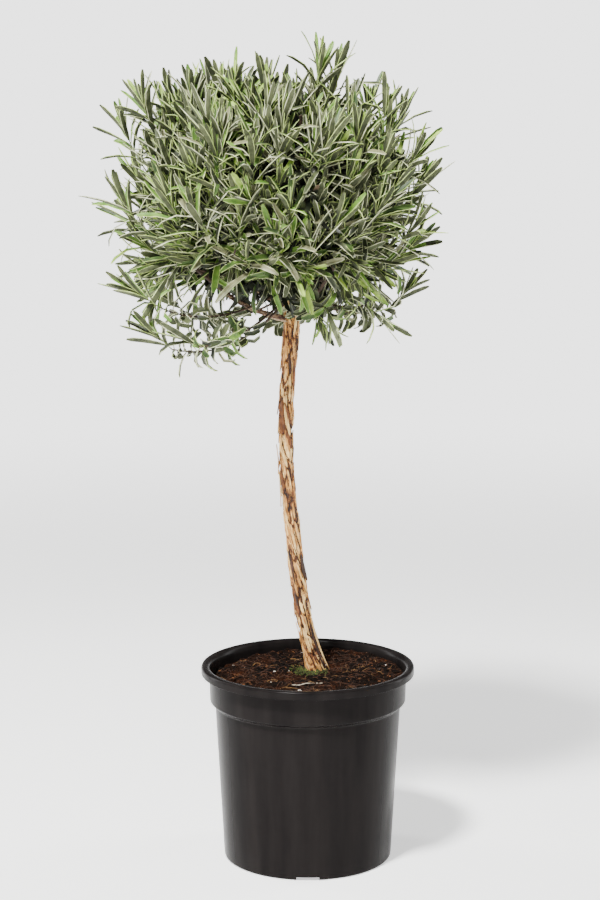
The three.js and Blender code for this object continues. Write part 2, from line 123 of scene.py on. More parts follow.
def glowing_acrylic(tree):
    # opal acrylic over lamps: matt and even. Near the pot it is white and takes its shadow, and towards
    # the rim its own glow takes over
    place = add(tree, "TexCoord").outputs["Object"]
    away = add(tree, "VectorMath", {0: place}, operation="LENGTH").outputs["Value"]
    glow = add(tree, "MapRange", {"Value": away, "From Min": GLOW_FROM, "From Max": GLOW_FULL,
                                  "To Min": POT_GLOW, "To Max": WALL_GLOW}, interpolation_type="SMOOTHSTEP")
    spread = add(tree, "MapRange", {"Value": away, "From Min": GLOW_FROM, "From Max": GLOW_FULL})
    white = add(tree, "ValToRGB", {"Fac": spread.outputs["Result"]}, stops=[(0, FLOOR_WHITE), (1, "#000000")])
    return {"Base Color": white.outputs["Color"], "Roughness": 0.9, "Specular IOR Level": 0.0,
            "Emission Color": (1, 1, 1, 1), "Emission Strength": glow.outputs["Result"]}


floor_turn = np.arange(FLOOR_SIDES) * 2 * math.pi / FLOOR_SIDES
floor_ring = np.column_stack([np.cos(floor_turn), np.sin(floor_turn), np.zeros(FLOOR_SIDES)])
floor = mesh_object("studio_floor", (floor_ring * FLOOR_RADIUS * 1000, [np.arange(FLOOR_SIDES)[None]]),
                    [finish("glowing_acrylic", glowing_acrylic)])


def soft_box(name, place, aim, wide, high, watts):
    """A rectangular soft box at a place, facing a point."""
    light = bpy.data.lights.new(name, "AREA")
    light.shape, light.size, light.size_y, light.energy = "RECTANGLE", wide, high, watts
    made = bpy.data.objects.new(name, light)
    made.location = place
    x, y, z = np.subtract(place, aim)
    made.rotation_euler = (math.atan2(math.hypot(x, y), z), 0, math.atan2(x, -y))
    bpy.context.scene.collection.objects.link(made)


for box in SOFT_BOXES:
    soft_box(*box)

world = bpy.data.worlds.new("white_room")
world.use_nodes = True
direction = add(world.node_tree, "TexCoord").outputs["Generated"]
upward = add(world.node_tree, "SeparateXYZ", {"Vector": direction}).outputs["Z"]
walls = add(world.node_tree, "MapRange", {"Value": upward, "From Min": WALL_TOP, "From Max": CEILING_FROM,
                                          "To Min": WALL_GLOW, "To Max": CEILING})
world.node_tree.nodes["Background"].inputs["Color"].default_value = (1, 1, 1, 1)
world.node_tree.links.new(walls.outputs["Result"], world.node_tree.nodes["Background"].inputs["Strength"])
bpy.context.scene.world = world

camera = bpy.data.objects.new("camera", bpy.data.cameras.new("camera"))
camera.data.lens = LENS
camera.data.sensor_width = SENSOR
camera.location = CAMERA_PLACE
camera.rotation_euler = (math.radians(90 - CAMERA_DOWN), 0, 0)
bpy.context.scene.collection.objects.link(camera)
bpy.context.scene.camera = camera

# --------------------------------------------------------------------------------------------- pot
# A nursery pot, injection moulded in black polypropylene with a satin skin. A straight band under the
# down-turned rim lets pots stack without jamming, and the foot has four notches and eight drain holes.
RIM_RADIUS, POT_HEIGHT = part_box("pot")[1].x * 1000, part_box("pot")[1].z * 1000
RIM_DEPTH, RIM_ROUND, RIM_ROLL = 7.2, 2.4, 6.0
POT_WALL = 1.6
COLLAR_RADIUS, COLLAR_FOOT, COLLAR_DRAFT = 88.2, 143.5, 0.9
SHOULDER_RADIUS, SHOULDER_HEIGHT = 82.7, 140.0
FOOT_RADIUS, FOOT_WIDTH, FOOT_ROUND = 75.0, 3.5, 1.2
FLOOR_LIFT, PAD_RADIUS, CHANNEL_SLOPE = 5.0, 42.0, 2.0
NOTCHES, NOTCH_WIDTH, NOTCH_HEIGHT = 4, 20.0, 3.0
DRAINS, DRAIN_RADIUS, DRAIN_CIRCLE = 8, 5.5, 57.0
POT_SIDES = 160
# How far the curve of each kind of corner reaches along the wall.
PAD_BEND, RING_BEND, FOOT_BEND, SHOULDER_BEND = 0.8, 0.6, 2.4, 1.2
RIM_BEND, LIP_BEND, INNER_BEND = 1.5, 0.5, 3.0
ARC_STEPS = 5
GUARD = 1.0  # a narrow band at each end of a straight wall, which keeps the shading of its corners off it
POT_CREASE = 40.0  # degrees: a sharper edge than this stays crisp
DRAIN_CUT, DRAIN_SIDES = (-9.0, 19.0), 24  # from below the foot to above the pot's floor
# the second colour is the lighter tone of the streaks up the wall: flow lines, and painted reflection
POT_BLACK, POT_FLOW_AND_PAINTED_REFLECTION = "#121010", "#1f1c1b"
POT_SATIN = (0.22, 0.28)  # roughness
POT_GLOSS = 0.035  # low, as the moulded grain breaks up most of the gloss
PEEL_GRAIN = 0.9  # millimetres across one dimple of the moulded skin
FLOW_AND_REFLECTION_WIDTH, FLOW_AND_REFLECTION_SQUASH = 18.0, 0.1  # flow lines are ten times as long as wide


def rounded(points):
    """An outline with its corners drawn round. Each point is radius, height and its curve's reach."""
    smooth = []
    for i, (r, z, reach) in enumerate(points):
        here = np.array([r, z])
        if not reach:
            smooth.append(here)
            continue
        ends = []
        for other in (points[i - 1], points[i + 1]):
            way = np.array(other[:2]) - here
            ends.append(here + way * min(reach / np.linalg.norm(way), 0.5))
        for t in np.linspace(0, 1, ARC_STEPS):
            smooth.append((1 - t) ** 2 * ends[0] + 2 * t * (1 - t) * here + t ** 2 * ends[1])
    guarded = smooth[:1]
    for before, here in zip(smooth, smooth[1:]):
        way = here - before
        run = np.linalg.norm(way)
        if run > 4 * GUARD:
            guarded += [before + way * GUARD / run, here - way * GUARD / run]
        guarded.append(here)
    return np.array(guarded)


def tube_faces(rings, sides):
    """The quads of a tube with so many rings of corners, and its two end caps."""
    ring = np.arange(sides)
    after = (ring + 1) % sides
    low = np.arange(rings - 1)[:, None] * sides
    high = low + sides
    quads = np.stack([low + ring, low + after, high + after, high + ring], -1).reshape(-1, 4)
    return quads, np.stack([ring[::-1], (rings - 1) * sides + ring])


def turned(outline, sides):
    """Corners and faces of an outline turned round the upright axis. It starts and ends on the axis."""
    turn = np.arange(sides) * 2 * math.pi / sides
    ring = np.stack([np.cos(turn), np.sin(turn)], 1)
    inner = outline[1:-1]
    corners = np.concatenate([np.column_stack([ring * r, np.full(sides, z)]) for r, z in inner])
    first, last = len(corners), len(corners) + 1
    corners = np.vstack([corners, [0, 0, outline[0][1]], [0, 0, outline[-1][1]]])
    a = np.arange(sides)
    b = (a + 1) % sides
    top = (len(inner) - 1) * sides
    fans = np.concatenate([np.stack([b, a, np.full(sides, first)], 1),
                           np.stack([top + a, top + b, np.full(sides, last)], 1)])
    return corners, [tube_faces(len(inner), sides)[0], fans]


def cut_from(body, cutters):
    """Takes the cutters out of the body, and removes them."""
    for cutter in cutters:
        cut = body.modifiers.new("cut", "BOOLEAN")
        cut.object, cut.operation, cut.solver = cutter, "DIFFERENCE", "EXACT"
    bpy.context.view_layer.update()
    shape = bpy.data.meshes.new_from_object(body.evaluated_get(bpy.context.evaluated_depsgraph_get()))
    body.modifiers.clear()
    body.data = shape
    for cutter in cutters:
        bpy.data.objects.remove(cutter)


def black_polypropylene(tree):
    # a satin skin with a faint orange peel, and slightly duller streaks that run up the wall: flow lines,
    # tinted lighter as painted reflection
    place = add(tree, "TexCoord").outputs["Object"]
    drawn_out = add(tree, "Mapping", {"Vector": place, "Scale": (1, 1, FLOW_AND_REFLECTION_SQUASH)})
    flow_and_reflection = add(tree, "TexNoise", {"Vector": drawn_out.outputs["Vector"], "Scale": 1000 / FLOW_AND_REFLECTION_WIDTH,
                                  "Detail": 3.0, "Roughness": 0.55})
    dull = add(tree, "MapRange", {"Value": flow_and_reflection.outputs["Fac"], "From Min": 0.35, "From Max": 0.75,
                                  "To Min": POT_SATIN[0], "To Max": POT_SATIN[1]})
    # painted reflection: the streaks are tinted lighter as well as made duller
    tint = add(tree, "ValToRGB", {"Fac": flow_and_reflection.outputs["Fac"]}, stops=[(0.3, POT_BLACK), (0.8, POT_FLOW_AND_PAINTED_REFLECTION)])
    peel = add(tree, "TexNoise", {"Vector": place, "Scale": 1000 / PEEL_GRAIN, "Detail": 2.0})
    skin = add(tree, "Bump", {"Height": peel.outputs["Fac"], "Strength": 0.05, "Distance": 0.0002})
    return {"Base Color": tint.outputs["Color"], "Roughness": dull.outputs["Result"], "IOR": 1.49,
            "Specular IOR Level": POT_GLOSS, "Normal": skin.outputs["Normal"]}


def settle(made, replaced=()):
    """Stands a piece on the root body, for the solids that it replaces."""
    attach(made, "root")
    if replaced:
        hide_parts(*replaced)


def notch_cutter(turn):
    """A block across the foot's ring, at a turn from the front."""
    half = np.array([NOTCH_WIDTH / 2, FOOT_WIDTH * 2, NOTCH_HEIGHT])
    signs = np.array([(x, y, z) for x in (-1, 1) for y in (-1, 1) for z in (-1, 1)])
    faces = np.array([(0, 1, 3, 2), (4, 6, 7, 5), (0, 4, 5, 1), (2, 3, 7, 6), (0, 2, 6, 4), (1, 5, 7, 3)])
    spin = np.array([[math.cos(turn), -math.sin(turn), 0], [math.sin(turn), math.cos(turn), 0], [0, 0, 1]])
    return mesh_object("notch", ((signs * half - [0, FOOT_RADIUS, 0]) @ spin.T, [faces]), [])


def drain_cutter(turn):
    """A rod through the pot's floor, at a turn round the circle of drains."""
    low, high = DRAIN_CUT
    outline = np.array([(0, low), (DRAIN_RADIUS, low), (DRAIN_RADIUS, high), (0, high)])
    rod, faces = turned(outline, DRAIN_SIDES)
    rod += [DRAIN_CIRCLE * math.cos(turn), DRAIN_CIRCLE * math.sin(turn), 0]
    return mesh_object("drain", (rod, faces), [])


lip = POT_HEIGHT - RIM_DEPTH
foot_inside = FOOT_RADIUS - FOOT_ROUND - FOOT_WIDTH
pot_outline = rounded([
    (0, 0, 0),
    (PAD_RADIUS, 0, PAD_BEND),
    (PAD_RADIUS + CHANNEL_SLOPE, FLOOR_LIFT, PAD_BEND),
    (foot_inside - CHANNEL_SLOPE, FLOOR_LIFT, PAD_BEND),
    (foot_inside, 0, RING_BEND),
    (FOOT_RADIUS, 0, FOOT_BEND),
    (SHOULDER_RADIUS, SHOULDER_HEIGHT, SHOULDER_BEND),
    (COLLAR_RADIUS - COLLAR_DRAFT, COLLAR_FOOT, SHOULDER_BEND),
    (COLLAR_RADIUS, POT_HEIGHT - POT_WALL, RIM_BEND),
    (RIM_RADIUS - POT_WALL, POT_HEIGHT - POT_WALL, POT_WALL),
    (RIM_RADIUS - POT_WALL, lip, LIP_BEND),
    (RIM_RADIUS, lip, LIP_BEND),
    (RIM_RADIUS, POT_HEIGHT, RIM_ROUND),
    (COLLAR_RADIUS - POT_WALL, POT_HEIGHT, RIM_ROLL),
    (COLLAR_RADIUS - COLLAR_DRAFT - POT_WALL, COLLAR_FOOT + POT_WALL, INNER_BEND),
    (SHOULDER_RADIUS - POT_WALL, SHOULDER_HEIGHT + POT_WALL, INNER_BEND),
    (FOOT_RADIUS - POT_WALL, FLOOR_LIFT + POT_WALL, INNER_BEND),
    (PAD_RADIUS + CHANNEL_SLOPE, FLOOR_LIFT + POT_WALL, PAD_BEND),
    (PAD_RADIUS, POT_WALL, PAD_BEND),
    (0, POT_WALL, 0),
])
pot = mesh_object("pot_shell", turned(pot_outline, POT_SIDES),
                  [finish("black_polypropylene", black_polypropylene)])
cut_from(pot, [notch_cutter(i * 2 * math.pi / NOTCHES) for i in range(NOTCHES)]
         + [drain_cutter((i + 0.5) * 2 * math.pi / DRAINS) for i in range(DRAINS)])
pot.data.set_sharp_from_angle(angle=math.radians(POT_CREASE))
settle(pot, ["pot"])

# ----------------------------------------------------------------------------------------- compost
# Peat and bark compost with root fibres, firmed round the stem and watered, so that it has settled below
# the rim. Crumbs, pale fibres and white grains of perlite lie on it, and moss grows at the stem's foot.
SOIL_LEVEL = 163.0
SOIL_TILT = (0.03, 0.045)  # its rise for each millimetre to the right, and to the back
SOIL_BUMP = 0.9
SWELL, SWELL_SHIFT = (0.13, 0.11), 1.1  # radians for each millimetre to the right, and to the back
RIPPLE, RIPPLE_SHARE = (0.29, 0.23), 0.6
SOIL_FLAT = (16.0, 34.0)  # level out to here round the stem, and as uneven as elsewhere from there on
STEM_FOOT = (7.0, 22.0, 164.3)
FOOT_CLEAR = 11.0  # crumbs and fibres start no nearer to the stem's middle
GAP = 0.3
SOIL_RADIUS = COLLAR_RADIUS - COLLAR_DRAFT - POT_WALL - GAP
SOIL_RINGS, SOIL_SIDES = 86, 288
GRAIN = ((7.0, 1.6), (2.8, 1.1), (1.2, 0.6))  # millimetres across, and how high
GRAIN_PLACE = (31, 17)  # where in its table of noise the grain is read
CRUMBS, FIBRES, STRAWS, CHIPS, PERLITE, MOSS = 3400, 520, 56, 620, 20, 300
CRUMB_SHAPE, CRUMB_SCALE, CRUMB_LEAST = 3.0, 0.28, 0.35  # many small radii and a few large ones
CHIP_RADII, PERLITE_RADII, MOSS_RADII = (0.4, 1.5), (0.6, 1.5), (0.35, 0.9)
CHIP_FLAT, MOSS_FLAT = 0.4, 1.2  # height, as a share of width
LUMP_STRETCH, LUMP_KNOBS = (0.55, 1.3), (0.75, 1.2)
MOSS_SIDE, MOSS_REACH = (4.0, 0.8), (7.5, 24.0)  # the angle it grows at, its spread, and how far out
MOSS_GATHER, MOSS_LIFT = 1.4, (0.2, 1.6)  # how much denser it is near the stem, and how high it stands
FIBRE_LENGTHS, STRAW_LENGTHS, FIBRE_CURL = (5, 15), (5, 12), 0.9
FIBRE_REACH, FIBRE_CLEAR, FIBRE_SPREAD = 0.95, 1.0, (0.6, 1.4)  # out to the pot's wall, and in thickness
FIBRE_RADIUS, FIBRE_ARCH, FIBRE_STEPS, FIBRE_SIDES = 0.2, 1.6, 5, 4
FIBRE_UP, ROOT_UP = 0.7, 1.1  # how far a fibre's middle lies above the compost
BARE_ROOT = ((-14, -27), (-8, -24), (-2, -21), (4, -19.5), (9, -19), (13, -20))
ROOT_RADIUS, ROOT_SIDES = 0.4, 6
PEAT_DARK, PEAT_MID, PEAT_RED = "#030201", "#0e0602", "#2c1304"
PEAT_FIBRE, PEAT_PATCH = 1.6, 22.0  # millimetres across

chance = np.random.default_rng(1937)


def lattice(u, v, table):
    """Smooth noise: a table of random numbers read between its places. It repeats past its edges."""
    i, j = np.floor(v).astype(int), np.floor(u).astype(int)
    s, t = u - j, v - i
    s, t = s * s * (3 - 2 * s), t * t * (3 - 2 * t)
    rows, columns = table.shape
    low = table[i % rows, j % columns] * (1 - s) + table[i % rows, (j + 1) % columns] * s
    high = table[(i + 1) % rows, j % columns] * (1 - s) + table[(i + 1) % rows, (j + 1) % columns] * s
    return low * (1 - t) + high * t


grain_table = chance.random((256, 256)) - 0.5


def soil_height(x, y):
    """The compost's surface without its grain, as the solid has it."""
    bumps = (np.sin(x * SWELL[0] + SWELL_SHIFT) * np.cos(y * SWELL[1])
             + RIPPLE_SHARE * np.sin(x * RIPPLE[0] + y * RIPPLE[1]))
    away = np.hypot(x - STEM_FOOT[0], y - STEM_FOOT[1])
    settled = np.clip((away - SOIL_FLAT[0]) / (SOIL_FLAT[1] - SOIL_FLAT[0]), 0, 1)
    settled = settled * settled * (3 - 2 * settled)
    level = SOIL_LEVEL + SOIL_TILT[0] * x + SOIL_TILT[1] * y + SOIL_BUMP * bumps
    return level * settled + (STEM_FOOT[2] - GAP) * (1 - settled)


def crumbled(x, y):
    """The surface with its crumbs and hollows."""
    right, up = GRAIN_PLACE
    grain = sum(high * lattice(x / wide + right, y / wide + up, grain_table) for wide, high in GRAIN)
    return soil_height(x, y) + grain


def damp_peat(tree):
    # damp peat: dark and dull, with redder fibres where it has dried
    place = add(tree, "TexCoord").outputs["Object"]
    fine = add(tree, "TexNoise", {"Vector": place, "Scale": 1000 / PEAT_FIBRE,
                                  "Detail": 5.0, "Roughness": 0.7})
    broad = add(tree, "TexNoise", {"Vector": place, "Scale": 1000 / PEAT_PATCH, "Detail": 2.0})
    both = add(tree, "Math", {0: fine.outputs["Fac"], 1: broad.outputs["Fac"]}, operation="ADD")
    half = add(tree, "Math", {0: both.outputs["Value"], 1: 0.5}, operation="MULTIPLY")
    tint = add(tree, "ValToRGB", {"Fac": half.outputs["Value"]},
               stops=[(0.36, PEAT_DARK), (0.5, PEAT_MID), (0.62, PEAT_RED)])
    rough = add(tree, "Bump", {"Height": fine.outputs["Fac"], "Strength": 0.6, "Distance": 0.0006})
    return {"Base Color": tint.outputs["Color"], "Roughness": 0.9, "Specular IOR Level": 0.1,
            "Normal": rough.outputs["Normal"]}


def mottled(low, high, size, roughness):
    def look(tree):
        # a dull natural surface whose colour wanders between two shades
        place = add(tree, "TexCoord").outputs["Object"]
        spots = add(tree, "TexNoise", {"Vector": place, "Scale": 1000 / size, "Detail": 3.0})
        tint = add(tree, "ValToRGB", {"Fac": spots.outputs["Fac"]}, stops=[(0.35, low), (0.65, high)])
        relief = add(tree, "Bump", {"Height": spots.outputs["Fac"], "Strength": 0.2, "Distance": 0.0003})
        return {"Base Color": tint.outputs["Color"], "Roughness": roughness,
                "Normal": relief.outputs["Normal"]}
    return look


peat_finish = finish("damp_peat", damp_peat)
below = [(0, POT_WALL + GAP), (PAD_RADIUS - GAP, POT_WALL + GAP),
         (PAD_RADIUS + CHANNEL_SLOPE - GAP, FLOOR_LIFT + POT_WALL + GAP),
         (FOOT_RADIUS - POT_WALL - GAP, FLOOR_LIFT + POT_WALL + GAP),
         (SHOULDER_RADIUS - POT_WALL - GAP, SHOULDER_HEIGHT + POT_WALL),
         (SOIL_RADIUS, COLLAR_FOOT + POT_WALL)]
over = [(SOIL_RADIUS * (1 - i / SOIL_RINGS), SOIL_LEVEL + GAP) for i in range(SOIL_RINGS + 1)]
soil_corners, soil_faces = turned(np.array(below + over), SOIL_SIDES)
is_top = soil_corners[:, 2] >= SOIL_LEVEL
soil_corners[is_top, 2] = crumbled(soil_corners[is_top, 0], soil_corners[is_top, 1])
settle(mesh_object("compost_body", (soil_corners, soil_faces), [peat_finish]), ["soil"])


def unit(vectors):
    """Vectors brought to a length of one."""
    return vectors / np.maximum(np.linalg.norm(vectors, axis=-1, keepdims=True), 1e-9)


def scattered(count, reach=0.985):
    """Places on the compost, clear of the stem's foot."""
    far = SOIL_RADIUS * reach * np.sqrt(chance.random(count * 2))
    turn = chance.random(count * 2) * 2 * math.pi
    spots = np.column_stack([far * np.cos(turn), far * np.sin(turn)])
    clear = np.hypot(spots[:, 0] - STEM_FOOT[0], spots[:, 1] - STEM_FOOT[1]) > FOOT_CLEAR
    spots = spots[clear][:count]
    return np.column_stack([spots, crumbled(spots[:, 0], spots[:, 1])])


def lumps(places, sizes, flat=0.7):
    """Uneven pebbles of twenty faces: crumbs of peat, chips of bark, perlite."""
    golden = (1 + math.sqrt(5)) / 2
    base = unit(np.array([(0, a, b * golden) for a in (-1, 1) for b in (-1, 1)]
                         + [(a, b * golden, 0) for a in (-1, 1) for b in (-1, 1)]
                         + [(b * golden, 0, a) for a in (-1, 1) for b in (-1, 1)]))
    near = np.linalg.norm(base[:, None] - base[None], axis=-1)
    touch = near < near[near > 0.1].min() * 1.1
    faces = [(a, b, c) for a in range(12) for b in range(a + 1, 12) for c in range(b + 1, 12)
             if touch[a, b] and touch[b, c] and touch[a, c]]
    faces = np.array([f if np.linalg.det(base[list(f)]) > 0 else f[::-1] for f in faces])
    count = len(places)
    turns = np.linalg.qr(chance.normal(size=(count, 3, 3)))[0]
    stretch = chance.uniform(*LUMP_STRETCH, (count, 1, 3)) * sizes[:, None, None]
    knobs = chance.uniform(*LUMP_KNOBS, (count, 12, 1))
    shapes = (base[None] * knobs * stretch) @ turns
    shapes[..., 2] *= flat
    handed = np.linalg.det(turns) < 0
    every = faces[None] + (np.arange(count) * 12)[:, None, None]
    every[handed] = every[handed][..., ::-1]
    return (shapes + places[:, None]).reshape(-1, 3), [every.reshape(-1, 3)]


def tubes(lines, radii, sides):
    """Round rods along lines that all have as many points, with a radius at each point."""
    count, points = lines.shape[:2]
    way = unit(np.gradient(lines, axis=1))
    chord = unit(lines[:, -1] - lines[:, 0])
    helper = np.where(np.abs(chord[:, 2:3]) < 0.8, [[0, 0, 1.0]], [[0, 1.0, 0]])
    side = unit(np.cross(way, helper[:, None]))
    other = np.cross(way, side)
    turn = np.arange(sides) * 2 * math.pi / sides
    spokes = side[:, :, None] * np.cos(turn)[:, None] + other[:, :, None] * np.sin(turn)[:, None]
    corners = lines[:, :, None] + spokes * radii[..., None, None]
    quads, caps = tube_faces(points, sides)
    start = (np.arange(count) * points * sides)[:, None, None]
    return corners.reshape(-1, 3), [(quads + start).reshape(-1, 4), (caps + start).reshape(-1, sides)]


def add_piece(name, shapes, finishes, smooth=True):
    """A piece made of several shapes with a finish each."""
    corners, faces, numbers, start = [], [], [], 0
    for number, (points, groups) in enumerate(shapes):
        faces += [group + start for group in groups]
        numbers += [np.full(len(group), number) for group in groups]
        corners.append(points)
        start += len(points)
    shape, finish_of = (np.concatenate(corners), faces), np.concatenate(numbers)
    settle(mesh_object(name, shape, finishes, finish_of, smooth))


crumbs = lumps(scattered(CRUMBS), chance.gamma(CRUMB_SHAPE, CRUMB_SCALE, CRUMBS) + CRUMB_LEAST)
chips = lumps(scattered(CHIPS), chance.uniform(*CHIP_RADII, CHIPS), CHIP_FLAT)
grains = lumps(scattered(PERLITE), chance.uniform(*PERLITE_RADII, PERLITE))
moss_turn = chance.normal(*MOSS_SIDE, MOSS)
moss_out = MOSS_REACH[0] + (MOSS_REACH[1] - MOSS_REACH[0]) * chance.random(MOSS) ** MOSS_GATHER
moss_x = STEM_FOOT[0] + np.cos(moss_turn) * moss_out
moss_y = STEM_FOOT[1] + np.sin(moss_turn) * moss_out
moss_up = soil_height(moss_x, moss_y) + chance.uniform(*MOSS_LIFT, MOSS)
moss = lumps(np.column_stack([moss_x, moss_y, moss_up]), chance.uniform(*MOSS_RADII, MOSS), MOSS_FLAT)
add_piece("stem_foot_moss", [moss],
          [finish("cushion_moss", mottled("#141c04", "#4c5a18", 2.0, 0.9))])
add_piece("compost_crumbs", [crumbs, chips, grains],
          [peat_finish, finish("bark_chip", mottled("#2a1304", "#70400f", 2.0, 0.9)),
           finish("perlite", mottled("#d8cfc0", "#f3eee4", 1.0, 0.8))], smooth=False)


def strands(count, lengths):
    """Fibres that lie curled on the compost."""
    roots = scattered(count, FIBRE_REACH)
    heading = chance.random(count) * 2 * math.pi
    curl = chance.normal(0, FIBRE_CURL, count)
    step = chance.uniform(*lengths, count) / FIBRE_STEPS
    line = [roots[:, :2]]
    for turned_by in np.linspace(0, 1, FIBRE_STEPS):
        angle = heading + curl * turned_by
        line.append(line[-1] + np.stack([np.cos(angle), np.sin(angle)], 1) * step[:, None])
    flat = np.stack(line, 1)
    flat = flat[np.hypot(flat[..., 0], flat[..., 1]).max(1) < SOIL_RADIUS - FIBRE_CLEAR]
    rise = chance.uniform(0, FIBRE_ARCH, len(flat))[:, None]
    arch = np.sin(np.linspace(0, math.pi, FIBRE_STEPS + 1)) * rise
    points = np.dstack([flat, soil_height(flat[..., 0], flat[..., 1]) + FIBRE_UP + arch])
    thickness = FIBRE_RADIUS * chance.uniform(*FIBRE_SPREAD, (len(points), 1))
    return tubes(points, np.broadcast_to(thickness, points.shape[:2]), FIBRE_SIDES)


root_flat = np.array(BARE_ROOT, float)
root_line = np.column_stack([root_flat, soil_height(root_flat[:, 0], root_flat[:, 1]) + ROOT_UP])[None]
add_piece("compost_fibres",
          [strands(FIBRES, FIBRE_LENGTHS), strands(STRAWS, STRAW_LENGTHS),
           tubes(root_line, np.full(root_line.shape[:2], ROOT_RADIUS), ROOT_SIDES)],
          [finish("peat_fibre", mottled("#1a0c03", "#4a260a", 3.0, 0.9)),
           finish("dry_straw", mottled("#4e3318", "#8a6636", 3.0, 0.75)),
           finish("bare_root", mottled("#a89c86", "#cfc6b4", 3.0, 0.7))])


# -------------------------------------------------------------------------------------------- stem
# One leader, grown up straight and rubbed clean of side shoots for years. Its old bark has split into
# long strips that fray and lift at their ends, and it spreads into low spurs where it enters the compost.
STEM_LINE = ((7, 22, 164.3), (-6, 19, 229), (-14.5, 16, 300), (-19.6, 13, 370), (-17.8, 11, 430),
             (-13.5, 9, 495), (-16, 8, 560))
STEM_RADIUS, STEM_TIP_RADIUS, STEM_TAPER_FROM = 6.2, 3.4, 490.0
FLARE_RADIUS, FLARE_HEIGHT, FLARE_LOBES, FLARE_LOBE = 2.6, 26.0, 3, 0.16
STEM_SUNK = 1.2  # the bark's foot is buried in the crumbs
STEM_SIDES, STEM_STEP, STEM_CURVE_STEPS = 104, 0.75, 60
STRIP_WIDTH, STRIP_LENGTH, STRIP_TWIST = 3.4, 22.0, 0.14  # the twist is across for each millimetre along
SEAM_WIDTH, SEAM_LENGTH, SEAM_DEPTH, SEAM_SHARE = 9.0, 80.0, 1.6, 0.2  # long plates, split deeper
WANDER, WANDER_RUN = 1.9, 17.0  # the plates wind from side to side as they climb
PLATE_SHIFTS = (0.3, 0.4)  # how unevenly they lie, across and along, as shares of their size
STRIP_LIFT = (-0.45, 0.8)  # how far one strip stands in or out of the next
STRIP_TILT = 0.6  # how much prouder one long edge of a strip is
FISSURE_DEPTH, RIM_SHARE = 0.7, 0.2
# Streaks along the bark, in layers: how strong, how wide and long, and where in their table they are read.
FIBRE_RELIEF, FLECK_RELIEF = 0.3, 0.5
FIBRE_LAYERS = ((1.0, 0.7, 14.0, 0, 0), (0.6, 0.7 / 2.1, 14.0 / 1.7, 40, 0))
FLECK_LAYERS = ((1.0, 1.3, 4.6, 9, 5), (0.7, 0.7, 2.0, 19, 15))
# The nearer to a split and the deeper in the streaks, the darker the colour that shows: painted shade in the
# splits and grooves, over the bark's own colours. Tan strips are pale on their crests as painted highlight.
STREAK_SHARE, DARK_UNDER, ORANGE_UNDER = 0.9, 0.24, 0.66
PALE_OVER, PALE_FIBRE = 1.3, 0.12  # tan strips are pale on their crests
FLECK_UNDER, FLECK_FRAY = -0.52, 0.3  # the deepest flecks are dark right through
STRIP_SHARES = (0.6, 0.28, 0.12)  # of tan, pale and orange strips
BARK_STREAK, BARK_SQUASH, BARK_PATCH = 0.9, 0.09, 7.0  # streaks run eleven times as far up as across
# Loose strips: how many, up to what height, and the share of each colour.
SLIVERS, SLIVER_TOP, SLIVER_SHARES = 64, 500.0, (0.4, 0.3, 0.2, 0.1)
SLIVER_LENGTHS, SLIVER_WIDTHS, SLIVER_LIFTS, SLIVER_SPIN = (10, 28), (1.6, 3.4), (0.1, 1.1), (-0.3, 0.2)
SLIVER_POINTS, SLIVER_OFF, SLIVER_CURL = 12, 0.5, 2.2  # it stands off the stem, and curls away at one end
SLIVER_FOOT, SLIVER_RUN, SLIVER_BLUNT = 0.06, 0.9, 0.6  # it narrows at both ends, but not to a point
SLIVER_SECTION = ((1, 0), (0, 0.3), (-1, 0), (-1, 0.35), (0, 0.75), (1, 0.35))


def old_bark(low, high):
    def look(tree):
        # dry shreddy bark: dull, and streaked along the fibres where they have weathered unevenly
        place = add(tree, "TexCoord").outputs["Object"]
        along = add(tree, "Mapping", {"Vector": place, "Scale": (1, 1, BARK_SQUASH)}).outputs["Vector"]
        fibres = add(tree, "TexNoise", {"Vector": along, "Scale": 1000 / BARK_STREAK, "Detail": 4.0})
        patches = add(tree, "TexNoise", {"Vector": place, "Scale": 1000 / BARK_PATCH, "Detail": 3.0})
        both = add(tree, "Math", {0: fibres.outputs["Fac"], 1: patches.outputs["Fac"]}, operation="ADD")
        half = add(tree, "Math", {0: both.outputs["Value"], 1: 0.5}, operation="MULTIPLY")
        tint = add(tree, "ValToRGB", {"Fac": half.outputs["Value"]}, stops=[(0.4, low), (0.6, high)])
        relief = add(tree, "Bump", {"Height": fibres.outputs["Fac"], "Strength": 0.5, "Distance": 0.0003})
        return {"Base Color": tint.outputs["Color"], "Roughness": 0.82, "Normal": relief.outputs["Normal"]}
    return look


BARK_FINISHES = [finish("bark_tan", old_bark("#8c5a26", "#cf9850")),
                 finish("bark_pale", old_bark("#bb8a4a", "#f0cf8c")),
                 finish("bark_orange", old_bark("#44240c", "#7e4a22")),
                 # near black: dark flecks, cut ends and dark loose strips, and painted shade in the splits
                 finish("bark_dark_and_painted_shade", old_bark("#180c05", "#41230f"))]
TAN, PALE, ORANGE, DARK = range(4)
fibre_table = chance.random((128, 128)) - 0.5


def spline(points, steps):
    """A centripetal Catmull-Rom curve through points, with so many steps between each two."""
    p = np.array(points, float)
    p = np.vstack([2 * p[0] - p[1], p, 2 * p[-1] - p[-2]])
    spans = np.linalg.norm(np.diff(p, axis=0), axis=1) ** 0.5
    t = np.linspace(0, 1, steps, endpoint=False)[:, None]
    line = []
    for i in range(1, len(p) - 2):
        a, b, c, d = p[i - 1:i + 3]
        u, v, w = spans[i - 1:i + 2]
        start = ((b - a) / u - (c - a) / (u + v) + (c - b) / v) * v
        stop = ((c - b) / v - (d - b) / (v + w) + (d - c) / w) * v
        line.append(b + start * t + (3 * (c - b) - 2 * start - stop) * t ** 2
                    + (2 * (b - c) + start + stop) * t ** 3)
    return np.vstack([*line, p[-2]])


stem_curve = spline(STEM_LINE, STEM_CURVE_STEPS)


